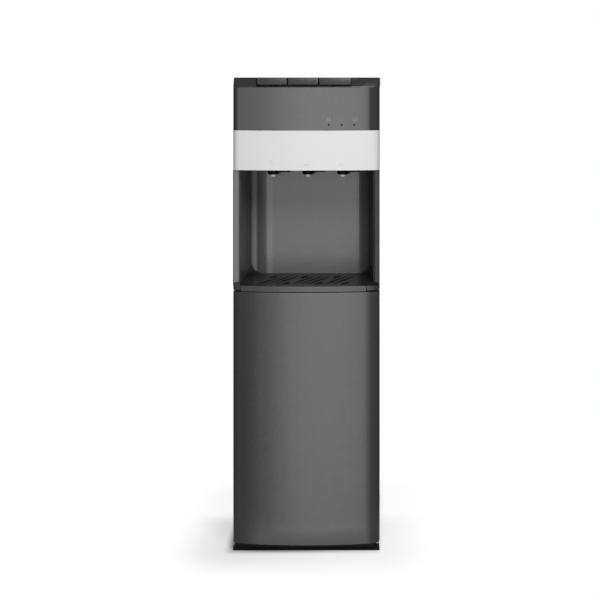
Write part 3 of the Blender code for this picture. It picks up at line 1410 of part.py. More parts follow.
def make_evaporator_coil():
    """Copper coil round the cold tank with its return down to the compressor."""
    turns = coil_points()
    start = Vector(turns[0]) + Vector((0, 0, COIL_PITCH))
    end = Vector(turns[-1])
    below = Vector((end.x, end.y, head_floor_bottom() - COIL_PITCH))
    port = Vector((*suction_place(), motor_port_top() + GAP))
    straight = port + Vector((0, 0, COIL_PITCH))
    down = [tuple(end.lerp(below, COIL_TUBE / COIL_PITCH)), tuple(below), tuple(straight), tuple(port)]
    points = [tuple(start)] + turns + down
    report_coil_gap(turns)
    tube("evaporator_coil", points, COIL_TUBE, COPPER, resolution=1)


def suction_place():
    """Place of the compressor's suction port, seen from above."""
    return COMPRESSOR_X, MACHINE_Y + SUCTION_SHARE * MOTOR_RADIUS


def report_coil_gap(points):
    """Print the least gap between the coil's turns."""
    least = HEIGHT
    for index, point in enumerate(points):
        for other in points[index + COIL_STEPS // 2:]:
            least = min(least, (Vector(point) - Vector(other)).length)
    print("least gap between turns in mm:", round((least - 2 * COIL_TUBE) * 1000, 2))


def hot_ports():
    """Places of the hot tank's ports: feed and outlet."""
    reach = HOT_RADIUS / 3
    return ((HOT_X - reach, HOT_Y + reach), (HOT_X, HOT_Y - reach))


def make_hot_tank():
    """Steel hot tank with its heater boss below and ports above."""
    bottom = TANK_FLOOR + HOT_SKIRT
    tank = add_object("hot_tank", turned(tank_profile(HOT_RADIUS, bottom, HOT_HEIGHT, TANK_DOME),
                                         (HOT_X, HOT_Y, 0), sides=TANK_SIDES), STAINLESS)
    skirt = HOT_RADIUS / 2
    join(tank, turned([(skirt, TANK_FLOOR), (skirt, bottom + TANK_DOME / 4)],
                      (HOT_X, HOT_Y, 0), sides=TANK_SIDES))
    top = bottom + HOT_HEIGHT
    for x, y in hot_ports():
        join(tank, turned([(PORT_RADIUS, top - TANK_DOME / 2), (PORT_RADIUS, top + PORT_LENGTH)],
                          (x, y, 0), sides=PORT_SIDES))


def cold_port_top():
    """Height of the cold tank's port ends."""
    return TANK_FLOOR + COLD_LIFT + COLD_HEIGHT + PORT_LENGTH


def hot_port_top():
    """Height of the hot tank's port ends."""
    return TANK_FLOOR + HOT_SKIRT + HOT_HEIGHT + PORT_LENGTH


# Refrigeration


def shelf_top():
    """Top face of the mid shelf."""
    return SHELF_BOTTOM + SHELF_SHEET + GAP


def discharge_z():
    """Height of the compressor's discharge."""
    return shelf_top() + DISCHARGE_RISE


def motor_port_top():
    """Height of the compressor's suction port."""
    return shelf_top() + MOTOR_HEIGHT + PORT_LENGTH


def make_compressor():
    """Domed compressor shell on a plate with feet."""
    bottom = shelf_top()
    body_low = bottom + MOTOR_FOOT
    top = bottom + MOTOR_HEIGHT
    profile = [(MOTOR_RADIUS - MOTOR_DOME / 2, body_low),
               (MOTOR_RADIUS, body_low + MOTOR_DOME / 2), (MOTOR_RADIUS, top - MOTOR_DOME),
               (MOTOR_RADIUS - MOTOR_DOME / 4, top - MOTOR_DOME / 3),
               (MOTOR_RADIUS - 3 * MOTOR_DOME / 4, top)]
    shell = turned(profile, (COMPRESSOR_X, MACHINE_Y, 0), sides=MOTOR_SIDES)
    compressor = add_object("compressor", shell, BLACK_PAINT)
    half = MOTOR_PLATE_HALF
    plate_top = body_low + MOTOR_FOOT / 2
    join(compressor, block((COMPRESSOR_X - half, MACHINE_Y - half / 2, body_low - MOTOR_FOOT / 4),
                           (COMPRESSOR_X + half, MACHINE_Y + half / 2, plate_top)))
    foot = MOTOR_FOOT
    for x in (-1, 1):
        for y in (-1, 1):
            spot = (COMPRESSOR_X + x * (half - foot), MACHINE_Y + y * (half / 2 - foot), 0)
            join(compressor, turned([(MOTOR_FOOT_RADIUS, bottom),
                                     (MOTOR_FOOT_RADIUS, body_low + MOTOR_FOOT / 4)],
                                    spot, sides=PORT_SIDES))
    join(compressor, turned([(STUB_RADIUS, top - MOTOR_DOME), (STUB_RADIUS, motor_port_top())],
                            (*suction_place(), 0), sides=PORT_SIDES))
    start = MACHINE_Y + MOTOR_RADIUS - MOTOR_DOME / 2
    join(compressor, turned([(STUB_RADIUS, 0), (STUB_RADIUS, discharge_end() - start)],
                            (COMPRESSOR_X, start, discharge_z()), "Y", PORT_SIDES))


def discharge_end():
    """Depth of the end of the compressor's discharge stub."""
    return (MACHINE_Y + MOTOR_RADIUS + REAR_FACE) / 2


def condenser_points():
    """Discharge pipe, then level runs joined by half-circle bends, from the top down."""
    y = CONDENSER_Y
    bend = CONDENSER_PITCH / 2
    top_z = CONDENSER_TOP
    inner = CONDENSER_HALF - bend
    tight = 4 * CONDENSER_TUBE
    corners = [(COMPRESSOR_X, discharge_end() + GAP, discharge_z()), (COMPRESSOR_X, y, discharge_z()),
               (COMPRESSOR_X, y, top_z), (inner, y, top_z)]
    points = rounded_route(corners, tight, PIPE_STEPS)
    for run in range(CONDENSER_RUNS - 1):
        side = 1 if run % 2 == 0 else -1
        middle_z = top_z - run * CONDENSER_PITCH - bend
        for step in range(CONDENSER_BEND_STEPS + 1):
            angle = math.pi / 2 - math.pi * step / CONDENSER_BEND_STEPS
            points.append(Vector((side * (inner + bend * math.cos(angle)), y,
                                  middle_z + bend * math.sin(angle))))
    rise = DRIER_Z - PORT_LENGTH - GAP
    shift = CONDENSER_PITCH
    corners = [points.pop(), (DRIER_X, y, CONDENSER_BOTTOM), (DRIER_X, y, rise - 2 * shift),
               (DRIER_X, DRIER_Y, rise - shift), (DRIER_X, DRIER_Y, rise)]
    return points + rounded_route(corners, tight, PIPE_STEPS)


def make_condenser():
    """Serpentine tube and the rod grid in front of it."""
    tube("condenser_tube", [tuple(p) for p in condenser_points()], CONDENSER_TUBE, BLACK_PAINT,
         resolution=1)
    rear = CONDENSER_Y - CONDENSER_TUBE - GAP
    front = rear - ROD_SIDE
    low_z = CONDENSER_BOTTOM - ROD_OVERHANG
    high_z = CONDENSER_TOP + ROD_OVERHANG
    half = CONDENSER_HALF - CONDENSER_PITCH / 2
    bar = block((-half - ROD_SIDE, front, high_z - 2 * ROD_SIDE), (half + ROD_SIDE, rear, high_z))
    grid = add_object("condenser_grid", bar, BLACK_PAINT)
    join(grid, block((-half - ROD_SIDE, front, low_z), (half + ROD_SIDE, rear, low_z + 2 * ROD_SIDE)))
    inset = ROD_SIDE / 8
    rods = []
    for index in range(ROD_COUNT):
        x = -half + 2 * half * index / (ROD_COUNT - 1)
        rods.append(block((x - ROD_SIDE / 2, front + inset, low_z + ROD_SIDE),
                          (x + ROD_SIDE / 2, rear - inset, high_z - ROD_SIDE)))
    join(grid, merged(rods))
    legs = []
    for x in (-half, half):
        for z in (low_z + ROD_SIDE, high_z - ROD_SIDE):
            legs.append(block((x - STANDOFF_SIDE / 2, BODY_REAR + GAP, z - STANDOFF_SIDE / 2),
                              (x + STANDOFF_SIDE / 2, rear - ROD_SIDE / 2, z + STANDOFF_SIDE / 2)))
    join(grid, merged(legs))


def capillary_riser():
    """Place of the capillary where it rises past the head floor."""
    return DRIER_X, (COMPARTMENT_REAR + COMPARTMENT_SHEET + REAR_FACE) / 2


# Water path


def make_water_pump():
    """Small pump on the shelf with two ports on top."""
    bottom = shelf_top()
    top = bottom + WATER_PUMP_HEIGHT
    profile = [(WATER_PUMP_RADIUS, bottom), (WATER_PUMP_RADIUS, top - PORT_LENGTH),
               (WATER_PUMP_RADIUS - PORT_RADIUS, top)]
    pump = add_object("water_pump", turned(profile, (WATER_PUMP_X, MACHINE_Y, 0)), WHITE_PLASTIC)
    for step in (-1, 1):
        join(pump, turned([(PORT_RADIUS, top - PORT_LENGTH), (PORT_RADIUS, top + PORT_LENGTH)],
                          (WATER_PUMP_X + step * PUMP_PORT_HALF, MACHINE_Y, 0), sides=PORT_SIDES))


def water_port_top():
    """Height of the pump's port ends."""
    return shelf_top() + WATER_PUMP_HEIGHT + PORT_LENGTH


def feed_riser():
    """Place of the feed hose where it rises between the two tanks."""
    return (COLD_X + JACKET_RADIUS + HOT_X - HOT_RADIUS) / 2, COLD_Y


def make_probe():
    """Bottle cap with its suction tube, parked in the dock."""
    low = PROBE_CAP_Z
    profile = [(PROBE_CAP_RADIUS, low), (PROBE_CAP_RADIUS, low + PROBE_CAP_HEIGHT * 2 / 3),
               (PROBE_CAP_RADIUS - PORT_RADIUS, low + PROBE_CAP_HEIGHT)]
    cap = add_object("bottle_probe", turned(profile, (PROBE_X, PROBE_Y, 0)), WHITE_PLASTIC)
    join(cap, turned([(PROBE_TUBE_RADIUS, PROBE_TUBE_BOTTOM), (PROBE_TUBE_RADIUS, low + PORT_RADIUS)],
                     (PROBE_X, PROBE_Y, 0), sides=CAN_SIDES))


def make_hoses():
    """Suction, feed and outlet hoses along their real routes."""
    start = PROBE_CAP_Z + PROBE_CAP_HEIGHT + GAP
    peak = water_port_top() + 3 * HOSE_BEND
    inlet = (WATER_PUMP_X + PUMP_PORT_HALF, MACHINE_Y)
    corners = [(PROBE_X, PROBE_Y, start), (PROBE_X, PROBE_Y, peak), (*inlet, peak),
               (*inlet, water_port_top() + GAP)]
    tube("suction_hose", rounded_route(corners, HOSE_BEND), HOSE_RADIUS, SILICONE)
    outlet = (WATER_PUMP_X - PUMP_PORT_HALF, MACHINE_Y)
    riser = feed_riser()
    port = cold_ports()[0]
    roof = COVER_CEILING - 2 * HOSE_RADIUS
    corners = [(*outlet, water_port_top() + GAP), (*outlet, peak), (*riser, peak), (*riser, roof),
               (*port, roof), (*port, cold_port_top() + GAP)]
    tube("feed_hose", rounded_route(corners, HEAD_HOSE_BEND), HOSE_RADIUS, SILICONE)
    runs = (("cold", cold_ports()[1], cold_port_top()), ("room", cold_ports()[2], cold_port_top()),
            ("hot", hot_ports()[1], hot_port_top()))
    for (name, tap_x), (_, port, height) in zip(tap_places(), runs):
        end = valve_port(tap_x)
        corners = [(*port, height + GAP), (*port, roof), (*end, roof), (*end, valve_port_top() + GAP)]
        tube(name + "_hose", rounded_route(corners, HEAD_HOSE_BEND), HOSE_RADIUS, SILICONE)


def make_drier():
    """Filter drier behind the rear panel and its capillary up to the coil."""
    profile = [(CONDENSER_TUBE, DRIER_Z - PORT_LENGTH), (DRIER_RADIUS, DRIER_Z),
               (DRIER_RADIUS, DRIER_Z + DRIER_LENGTH - PORT_LENGTH),
               (CONDENSER_TUBE, DRIER_Z + DRIER_LENGTH)]
    add_object("filter_drier", turned(profile, (DRIER_X, DRIER_Y, 0), sides=CAN_SIDES), COPPER)
    rise_x, rise_y = capillary_riser()
    top = Vector(coil_points()[0]) + Vector((0, 0, COIL_PITCH + GAP))
    corners = [(DRIER_X, DRIER_Y, DRIER_Z + DRIER_LENGTH + GAP), (DRIER_X, DRIER_Y, CAPILLARY_Z),
               (rise_x, rise_y, CAPILLARY_Z), (rise_x, rise_y, CAPILLARY_ROOF),
               (top.x, top.y, CAPILLARY_ROOF), tuple(top)]
    tube("capillary_tube", rounded_route(corners, CAPILLARY_BEND), CAPILLARY, COPPER, resolution=1)


# Back fittings


def make_back_fittings():
    """Rocker switches, drain cap and cord gland."""
    for name, step, finish in (("hot_switch", -0.5, RED), ("cold_switch", 0.5, GREEN)):
        x = SWITCH_X + step * SWITCH_PITCH
        front = BODY_REAR + ROCKER_PROUD - ROCKER_DEPTH
        rocker = block((x - ROCKER_WIDTH / 2, front, SWITCH_Z - ROCKER_HEIGHT / 2),
                       (x + ROCKER_WIDTH / 2, BODY_REAR + ROCKER_PROUD, SWITCH_Z + ROCKER_HEIGHT / 2))
        add_object(name, rocker, finish)
    gland = [(GLAND_RADIUS, -REAR_SHEET - GLAND_PROUD / 2), (GLAND_RADIUS, GAP),
             (GLAND_RADIUS + GLAND_PROUD / 3, GAP), (GLAND_RADIUS, GLAND_PROUD)]
    add_object("cord_gland", turned(gland, (GLAND_X, BODY_REAR, GLAND_Z), "Y"), RUBBER)
    end = DRAIN_PIPE_LENGTH + GAP + DRAIN_CAP_WALL
    cap = turned([(DRAIN_CAP_RADIUS, GAP), (DRAIN_CAP_RADIUS, end)],
                 (DRAIN_X, BODY_REAR, DRAIN_Z), "Y")
    cap = add_object("drain_cap", cap, BLACK_PLASTIC)
    bore = DRAIN_PIPE_RADIUS + GAP
    cut(cap, turned([(bore, -OVERRUN), (bore, DRAIN_PIPE_LENGTH + GAP)],
                    (DRAIN_X, BODY_REAR, DRAIN_Z), "Y"))


def main():
    """Build every sub-part."""
    clear_scene()
    make_feet()
    make_base_pan()
    make_bottle_floor()
    for side in ("left", "right"):
        trim_side_panel(make_side_panel(side), side)
    make_mid_shelf()
    make_compartment_back()
    make_rear_panel()
    make_door_shell()
    make_door_inner_panel()
    make_door_magnet()
    make_hinge_bracket()
    make_alcove()
    make_tray_surround()
    make_drip_tray()
    make_drip_grille()
    make_head_floor()
    make_taps()
    make_front_band()
    make_head_panel()
    make_control_board()
    make_indicator_lenses()
    make_top_cover()
    make_keys()
    make_switch_board()
    make_cold_tank()
    make_cold_jacket()
    make_evaporator_coil()
    make_hot_tank()
    make_compressor()
    make_condenser()
    make_drier()
    make_water_pump()
    make_probe()
    make_hoses()
    make_back_fittings()


main()
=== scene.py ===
"""Floor-standing water dispenser: finishes, small trim, floor, light and camera.

Metres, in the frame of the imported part: +Z up, the front faces -Y.
"""
import math

import bmesh
import bpy
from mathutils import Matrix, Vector


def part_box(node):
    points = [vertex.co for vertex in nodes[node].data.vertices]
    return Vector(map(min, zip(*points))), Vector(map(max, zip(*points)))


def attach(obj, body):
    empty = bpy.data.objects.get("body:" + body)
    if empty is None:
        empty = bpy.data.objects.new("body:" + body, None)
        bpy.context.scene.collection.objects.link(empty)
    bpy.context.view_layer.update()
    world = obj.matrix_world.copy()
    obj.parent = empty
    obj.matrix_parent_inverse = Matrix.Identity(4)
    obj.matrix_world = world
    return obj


# Camera, from the photograph's 600 x 600 frame
IMAGE_SIDE = 600
SENSOR = 36.0
FOCAL_PIXELS = 1146.0
PRINCIPAL = (384.4, 77.5)
CAMERA = (0.165, -2.580, 1.000)
CLIP_START = 0.01

# Light: name, place, aim, size, watts
LAMPS = (
    ("front", (0.14, -2.90, 0.10), (0.14, 0.0, 0.10), (1.6, 2.6), 33.5),
    ("front_right", (0.60, -2.90, 0.10), (0.60, 0.0, 0.10), (0.8, 2.6), 7.5),
    ("upper", (0.45, -1.80, 2.10), (0.0, -0.10, 0.60), (1.2, 0.9), 33.0),
)
FILL = 0.18
MIRRORED_FILL = 0.10
BACKDROP = (0.90, 1.00)
WHITE = (1.0, 1.0, 1.0, 1.0)

# Floor: how the shade beside the object fades into the backdrop. The footprint is half the width,
# half the depth and a height over everything.
FOOTPRINT = (0.155, 0.158, 10.0)
FLOOR_MARGIN = 0.14
FLOOR_GREY = (0.88, 0.88, 0.88, 1.0)
CONTACT_WIDTH = 0.024
CONTACT_LIFT = 0.60
RIGHT_STRETCH = 1.09
RIGHT_SHADE = 0.55
REAR_LIFT = 0.75
REAR_FADE = (-0.02, 0.06)
ASIDE_FADE = 0.03

# Places on the object
HALF_WIDTH = 0.155
REAR_FACE = 0.150
SIDES = (("left", -1), ("right", 1))

# Where tones and painted light change on the tray's front and the alcove's back, each as start and
# end
STRIP_BACK = (-0.1505, -0.1495)
STRIP_END = (0.1263, 0.1265)
BLOCK_START = (0.1286, 0.1288)
BLOCK_TOP = (0.5618, 0.5624)
RIDGE_EDGE = (-0.1235, -0.1190)
RIDGE_START = (-0.0985, -0.0960)
RIDGE_END = (-0.0880, -0.0850)

# Colours and gloss
BLACK = (0.0, 0.0, 0.0)
DOOR_GREY = (0.049, 0.049, 0.050)
TRAY_DARK = (0.022, 0.022, 0.023)
# Painted shade: near black atop the right tray block
PAINTED_SHADE_DARK = (0.010, 0.010, 0.010)
# Painted highlights on the alcove's back: its left edge, then the band where its curve ends
EDGE_HIGHLIGHT_GREY = (0.36, 0.36, 0.365)
RIDGE_HIGHLIGHT_GREY = (0.160, 0.160, 0.161)
PLASTIC_GLOSS = 0.5
DULL_GLOSS = 0.06
# Share of door grey on the right tray block's front, held at half as painted shade
BLOCK_SHADED_GREY = 0.50

# Printed marks: places, inks as strength and level of grey, soft edge, where the heating mark is
# cut off over its middle, and how far a surface has to face the front or rear to take ink
LENS_Z = 0.9005
LENS_X = (0.0485, 0.0753, 0.1021)
LENS_RADIUS = 0.0022
PANEL_ICON_Z = 0.9118
POWER_X, COOLING_X, HEATING_X = 0.0490, 0.0752, 0.1028
BAND_ICON_Z = 0.8150
COLD_X, ROOM_X, HOT_X = -0.0697, 0.0018, 0.0745
ROCKER_X = (0.080, 0.110)
ROCKER_Z = 0.860
PANEL_INK, COOLING_INK, SPOT_INK = (0.18, 0.62), (0.03, 0.62), (1.0, 0.004)
BAND_INK, ROCKER_INK = (0.30, 0.30), (1.0, 0.80)
PRINT_EDGE = 0.0002
HEATING_TOP = (0.0011, 0.0013)
FACING = (0.5, 0.6)

# Edges of the carried-over solids
SMOOTH_BELOW = math.radians(35)
WELD_REACH = 0.000001

# Trim. Pillar trims: X and half the thickness of the tip, then points, with X inward from the
# outer side or outward from the pillar's, and Y behind the pillar's face.
CLEAR = 0.0002
PILLAR_TRIM_TIP = (0.1494, 0.0002)
PILLAR_TRIM_OUTSIDE = ((0.0022, -0.0006), (0.0008, -0.0001), (0.0001, 0.0014))
PILLAR_TRIM_INSIDE = ((0.0002, 0.0062), (-0.0006, 0.0020))
LIP_OVERLAP = 0.0004
STRIP_HEIGHTS = (0.0008, 0.0042)
CORNER_BLOCK_WIDTH = 0.0100
CORNER_BLOCK_SETBACK = 0.0015
CORNER_BLOCK_HEIGHTS = (0.0044, 0.0105)
ROUND_SIDES = 20

# Screws: height, reach and half width of the cross, and crown as shares of the radius; shoulder
# and foot of the cross as shares of the height
HEAD_HEIGHT, CROSS_REACH, CROSS_HALF, CROWN = 0.55, 0.52, 0.13, 0.78
SHOULDER, CROSS_FOOT = 0.45, 0.35
SCREW_RADIUS = 0.0034
SCREWS = [(side * 0.1440, REAR_FACE, z)
          for side in (-1, 1) for z in (0.050, 0.280, 0.520, 0.745, 0.930)]
TOP_SCREW_RADIUS = 0.0030
TOP_SCREWS = [(x, REAR_FACE, 0.968) for x in (-0.110, 0.110)]

# Hose clamps: inner and outer side of the band from the hose, its height; size, reach and places
# of the ears
HOSE_RADIUS = 0.0045
CLAMPS = [(0.122, 0.106, 0.4720), (0.0921, 0.0725, 0.6245), (0.068, 0.0725, 0.6245),
          (-0.052, 0.060, 0.9655), (-0.084, 0.052, 0.9655), (-0.060, 0.044, 0.9655),
          (0.080, 0.056, 0.9535), (-0.075, -0.0965, 0.8475), (0.0, -0.0965, 0.8475),
          (0.075, -0.0965, 0.8475)]
CLAMP_BAND = (0.0001, 0.0010, 0.0040)
EAR_SIZE = (0.0008, 0.0032, 0.0014)
EAR_REACH = 0.0024
EAR_PLACES = ((0.0, 0.0004), (0.0007, 0.0022))

# Terminal cover: name, finish, foot and top, and half its outline as distance out and half width
TERMINAL_HEIGHT = 0.050
TERMINAL_PARTS = (
    ("compressor_terminal_box", "rubber", 0.0, 0.045,
     ((-0.0040, 0.020), (0.010, 0.018), (0.014, 0.012))),
    ("compressor_terminal_clip", "steel", 0.0205, 0.0235,
     ((-0.0040, 0.0215), (0.0105, 0.0193), (0.0150, 0.0125))),
)

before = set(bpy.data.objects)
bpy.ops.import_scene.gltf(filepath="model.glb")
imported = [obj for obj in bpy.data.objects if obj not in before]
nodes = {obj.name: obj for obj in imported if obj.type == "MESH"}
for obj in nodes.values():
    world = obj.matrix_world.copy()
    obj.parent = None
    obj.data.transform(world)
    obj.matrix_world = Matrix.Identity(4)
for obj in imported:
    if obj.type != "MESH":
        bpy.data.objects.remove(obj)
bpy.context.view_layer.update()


# Node helpers


class Nodes:
    """Short calls for the nodes of one tree."""

    def __init__(self, tree):
        self.tree = tree

    def feed(self, slot, value):
        """Input from a socket or a constant; None leaves it as it is."""
        if isinstance(value, bpy.types.NodeSocket):
            self.tree.links.new(value, slot)
        elif value is not None:
            slot.default_value = value

    def calc(self, kind, first, second=None):
        """Math node."""
        node = self.tree.nodes.new("ShaderNodeMath")
        node.operation = kind
        self.feed(node.inputs[0], first)
        self.feed(node.inputs[1], second)
        return node.outputs["Value"]

    def product(self, first, *others):
        """Product of several values."""
        for other in others:
            first = self.calc("MULTIPLY", first, other)
        return first

    def greatest(self, first, *others):
        """Greatest of several values."""
        for other in others:
            first = self.calc("MAXIMUM", first, other)
        return first

    def rest(self, value):
        """1 less a value."""
        return self.calc("SUBTRACT", 1.0, value)

    def vector(self, kind, first, second=None, result="Vector"):
        """Vector math node."""
        node = self.tree.nodes.new("ShaderNodeVectorMath")
        node.operation = kind
        self.feed(node.inputs[0], first)
        self.feed(node.inputs[1], second)
        return node.outputs[result]

    def split(self, vector):
        """X, Y and Z of a vector."""
        node = self.tree.nodes.new("ShaderNodeSeparateXYZ")
        self.feed(node.inputs["Vector"], vector)
        return node.outputs

    def ramp(self, value, low, high, to_low=0.0, to_high=1.0, smooth=False):
        """Value mapped from one span to another, held at the ends."""
        node = self.tree.nodes.new("ShaderNodeMapRange")
        if smooth:
            node.interpolation_type = "SMOOTHSTEP"
        for name, number in (("From Min", low), ("From Max", high),
                             ("To Min", to_low), ("To Max", to_high)):
            node.inputs[name].default_value = number
        self.feed(node.inputs["Value"], value)
        return node.outputs["Result"]

    def blend(self, share, first, second, out_kind):
        """Surface of the tree: a mix of two shaders."""
        node = self.tree.nodes.new("ShaderNodeMixShader")
        for slot, value in zip(node.inputs, (share, first, second)):
            self.feed(slot, value)
        out = self.tree.nodes.new(out_kind)
        self.feed(out.inputs["Surface"], node.outputs["Shader"])


class Shade(Nodes):
    """Builds the node tree of one material."""

    def __init__(self, name):
        self.material = bpy.data.materials.new(name)
        self.material.use_nodes = True
        super().__init__(self.material.node_tree)
        self.shader = self.tree.nodes["Principled BSDF"]
        self.place = self.tree.nodes.new("ShaderNodeTexCoord").outputs["Object"]
        self.axes = None

    def set(self, **values):
        """Constants on the shader's own sockets."""
        for key, value in values.items():
            self.shader.inputs[key.replace("_", " ")].default_value = value
        return self

    def axis(self, index):
        """X, Y or Z of the place."""
        if self.axes is None:
            self.axes = self.split(self.place)
        return self.axes[index]

    def stretched(self, scale):
        """Place stretched along each axis."""
        node = self.tree.nodes.new("ShaderNodeMapping")
        node.inputs["Scale"].default_value = scale
        self.feed(node.inputs["Vector"], self.place)
        return node.outputs["Vector"]

    def noise(self, scale, detail=3.0, rough=0.5, stretch=None):
        """Noise value from 0 to 1."""
        node = self.tree.nodes.new("ShaderNodeTexNoise")
        node.inputs["Scale"].default_value = scale
        node.inputs["Detail"].default_value = detail
        node.inputs["Roughness"].default_value = rough
        self.feed(node.inputs["Vector"], self.stretched(stretch) if stretch else self.place)
        return node.outputs["Fac"]

    def cells(self, scale):
        """Distance to the nearest of scattered points."""
        node = self.tree.nodes.new("ShaderNodeTexVoronoi")
        node.inputs["Scale"].default_value = scale
        self.feed(node.inputs["Vector"], self.place)
        return node.outputs["Distance"]

    def mix(self, share, first, second):
        """Colour between two colours or sockets."""
        node = self.tree.nodes.new("ShaderNodeMix")
        node.data_type = "RGBA"
        self.feed(node.inputs["Factor"], share)
        for slot, value in zip((node.inputs[6], node.inputs[7]), (first, second)):
            self.feed(slot, (*value, 1.0) if isinstance(value, tuple) else value)
        return node.outputs[2]

    def surface(self, colour=None, rough=None, gloss=None):
        """Varying colour, roughness and specular level of the surface."""
        for name, value in (("Base Color", colour), ("Roughness", rough),
                            ("Specular IOR Level", gloss)):
            self.feed(self.shader.inputs[name], value)

    def bump(self, height, strength, distance):
        """Bump from a height."""
        node = self.tree.nodes.new("ShaderNodeBump")
        node.inputs["Strength"].default_value = strength
        node.inputs["Distance"].default_value = distance
        self.feed(node.inputs["Height"], height)
        self.feed(self.shader.inputs["Normal"], node.outputs["Normal"])


def tinted(colour, spread):
    """Darker and lighter form of a colour."""
    return [tuple(min(1.0, value * share) for value in colour)
            for share in (1 - spread, 1 + spread)]


def moulded(name, colour, roughness, grain=1400.0, depth=0.00006, spread=0.02, marks=None,
            gloss=PLASTIC_GLOSS):
    """Moulded plastic: fine grain, faint drift in tone and gloss, and marks: print, tones, painted
    light.
    """
    made = Shade(name).set(Specular_IOR_Level=gloss)
    drift = made.ramp(made.noise(9.0, 3.0), 0.3, 0.7)
    base = made.mix(drift, *tinted(colour, spread))
    if marks:
        base = marks(made, base)
    rough = made.ramp(made.noise(55.0, 4.0), 0.25, 0.75, roughness - 0.015, roughness + 0.015)
    made.surface(base, rough)
    made.bump(made.noise(grain, 2.0, 0.6), 0.35, depth)
    return made


def edge_gloss_and_painted_shade(made, left, right, low, high, dim):
    """Painted shade and lower gloss towards the left and right edge, each given as start and end.
    """
    inner = made.product(made.ramp(made.axis(0), left[1], left[0]),
                         made.ramp(made.axis(0), right[0], right[1], 1.0, 0.0))
    base = made.shader.inputs["Base Color"].links[0].from_socket
    made.surface(made.mix(made.ramp(inner, 0.0, 1.0, dim, 0.0), base, BLACK),
                 gloss=made.ramp(inner, 0.0, 1.0, low, high))


def painted(name, colour, roughness):
    """Sprayed steel with orange peel."""
    made = Shade(name)
    drift = made.ramp(made.noise(6.0, 3.0), 0.3, 0.7)
    made.surface(made.mix(drift, *tinted(colour, 0.05)),
                 made.ramp(made.noise(30.0, 4.0), 0.25, 0.75, roughness - 0.02, roughness + 0.03))
    made.bump(made.noise(420.0, 2.0, 0.5), 0.30, 0.00010)
    return made


def metal(name, colour, roughness, stretch, spread=0.08):
    """Bare metal with drawn or rolled streaks."""
    made = Shade(name).set(Metallic=1.0)
    streak = made.noise(60.0, 5.0, 0.6, stretch)
    made.surface(made.mix(streak, *tinted(colour, spread)),
                 made.ramp(streak, 0.25, 0.75, roughness - 0.07, roughness + 0.10))
    made.bump(streak, 0.3, 0.00005)
    return made


# Printed marks, and tones with painted shade and painted highlights


def ring_mark(made, x, z, radius, width):
    """1 on a ring, 0 elsewhere."""
    across = made.calc("SUBTRACT", made.axis(0), x)
    up = made.calc("SUBTRACT", made.axis(2), z)
    far = made.calc("SQRT", made.calc("ADD", made.product(across, across), made.product(up, up)))
    off = made.calc("ABSOLUTE", made.calc("SUBTRACT", far, radius))
    return made.ramp(off, width / 2, width / 2 + PRINT_EDGE, 1.0, 0.0)


def bar_mark(made, x, z, wide, tall):
    """1 in an upright or level bar, 0 elsewhere."""
    spans = []
    for index, middle, size in ((0, x, wide), (2, z, tall)):
        off = made.calc("ABSOLUTE", made.calc("SUBTRACT", made.axis(index), middle))
        spans.append(made.ramp(off, size / 2, size / 2 + PRINT_EDGE, 1.0, 0.0))
    return made.product(*spans)


def icon(made, x, z, rings=(), bars=()):
    """Rings (across, up, radius, width) and bars (across, up, wide, tall) around a middle."""
    marks = [ring_mark(made, x + across, z + up, *size) for across, up, *size in rings]
    marks += [bar_mark(made, x + across, z + up, *size) for across, up, *size in bars]
    return made.greatest(*marks)


def without(made, first, second):
    """First mark less the second."""
    return made.product(first, made.rest(second))


def facing(made):
    """Front to back share of the surface's direction, from -1 to 1."""
    normal = made.tree.nodes.new("ShaderNodeNewGeometry").outputs["Normal"]
    return made.split(normal)["Y"]


def facing_front(made):
    """1 on what faces the front, so that nothing prints through to the inside."""
    low, high = FACING
    return made.ramp(facing(made), -high, -low, 1.0, 0.0)


def facing_rear(made):
    """1 on what faces the rear."""
    return made.ramp(facing(made), *FACING)


def inked(made, base, mark, side, strength, level):
    """Grey ink on a base where a mark lies and on one side only."""
    return made.mix(made.product(side, strength, mark), base, (level, level, level))


def panel_marks(made, base):
    """Faint power, cooling and heating pictograms over the lights of the head panel."""
    z = PANEL_ICON_Z
    power = without(made, icon(made, POWER_X, z, rings=[(0.0, 0.0, 0.0034, 0.0013)]),
                    icon(made, POWER_X, z, bars=[(0.0, 0.0036, 0.0024, 0.0030)]))
    stem = icon(made, POWER_X, z, bars=[(0.0, 0.0030, 0.0011, 0.0034)])
    cooling = icon(made, COOLING_X, z, rings=[(0.0, 0.0, 0.0033, 0.0011)],
                   bars=[(0.0, 0.0, 0.0009, 0.0040), (0.0, 0.0, 0.0040, 0.0009)])
    above = made.ramp(made.axis(2), *(z + up for up in HEATING_TOP))
    heating = without(made, icon(made, HEATING_X, z, rings=[(0.0, 0.0004, 0.0035, 0.0015)]), above)
    horns = icon(made, HEATING_X, z, bars=[(-0.0035, 0.0026, 0.0015, 0.0034),
                                           (0.0035, 0.0026, 0.0015, 0.0034)])
    spots = icon(made, 0.0, LENS_Z, rings=[(x, 0.0, 0.0, 2 * LENS_RADIUS) for x in LENS_X])
    front = facing_front(made)
    base = inked(made, base, made.greatest(power, stem, heating, horns), front, *PANEL_INK)
    base = inked(made, base, cooling, front, *COOLING_INK)
    return inked(made, base, spots, front, *SPOT_INK)


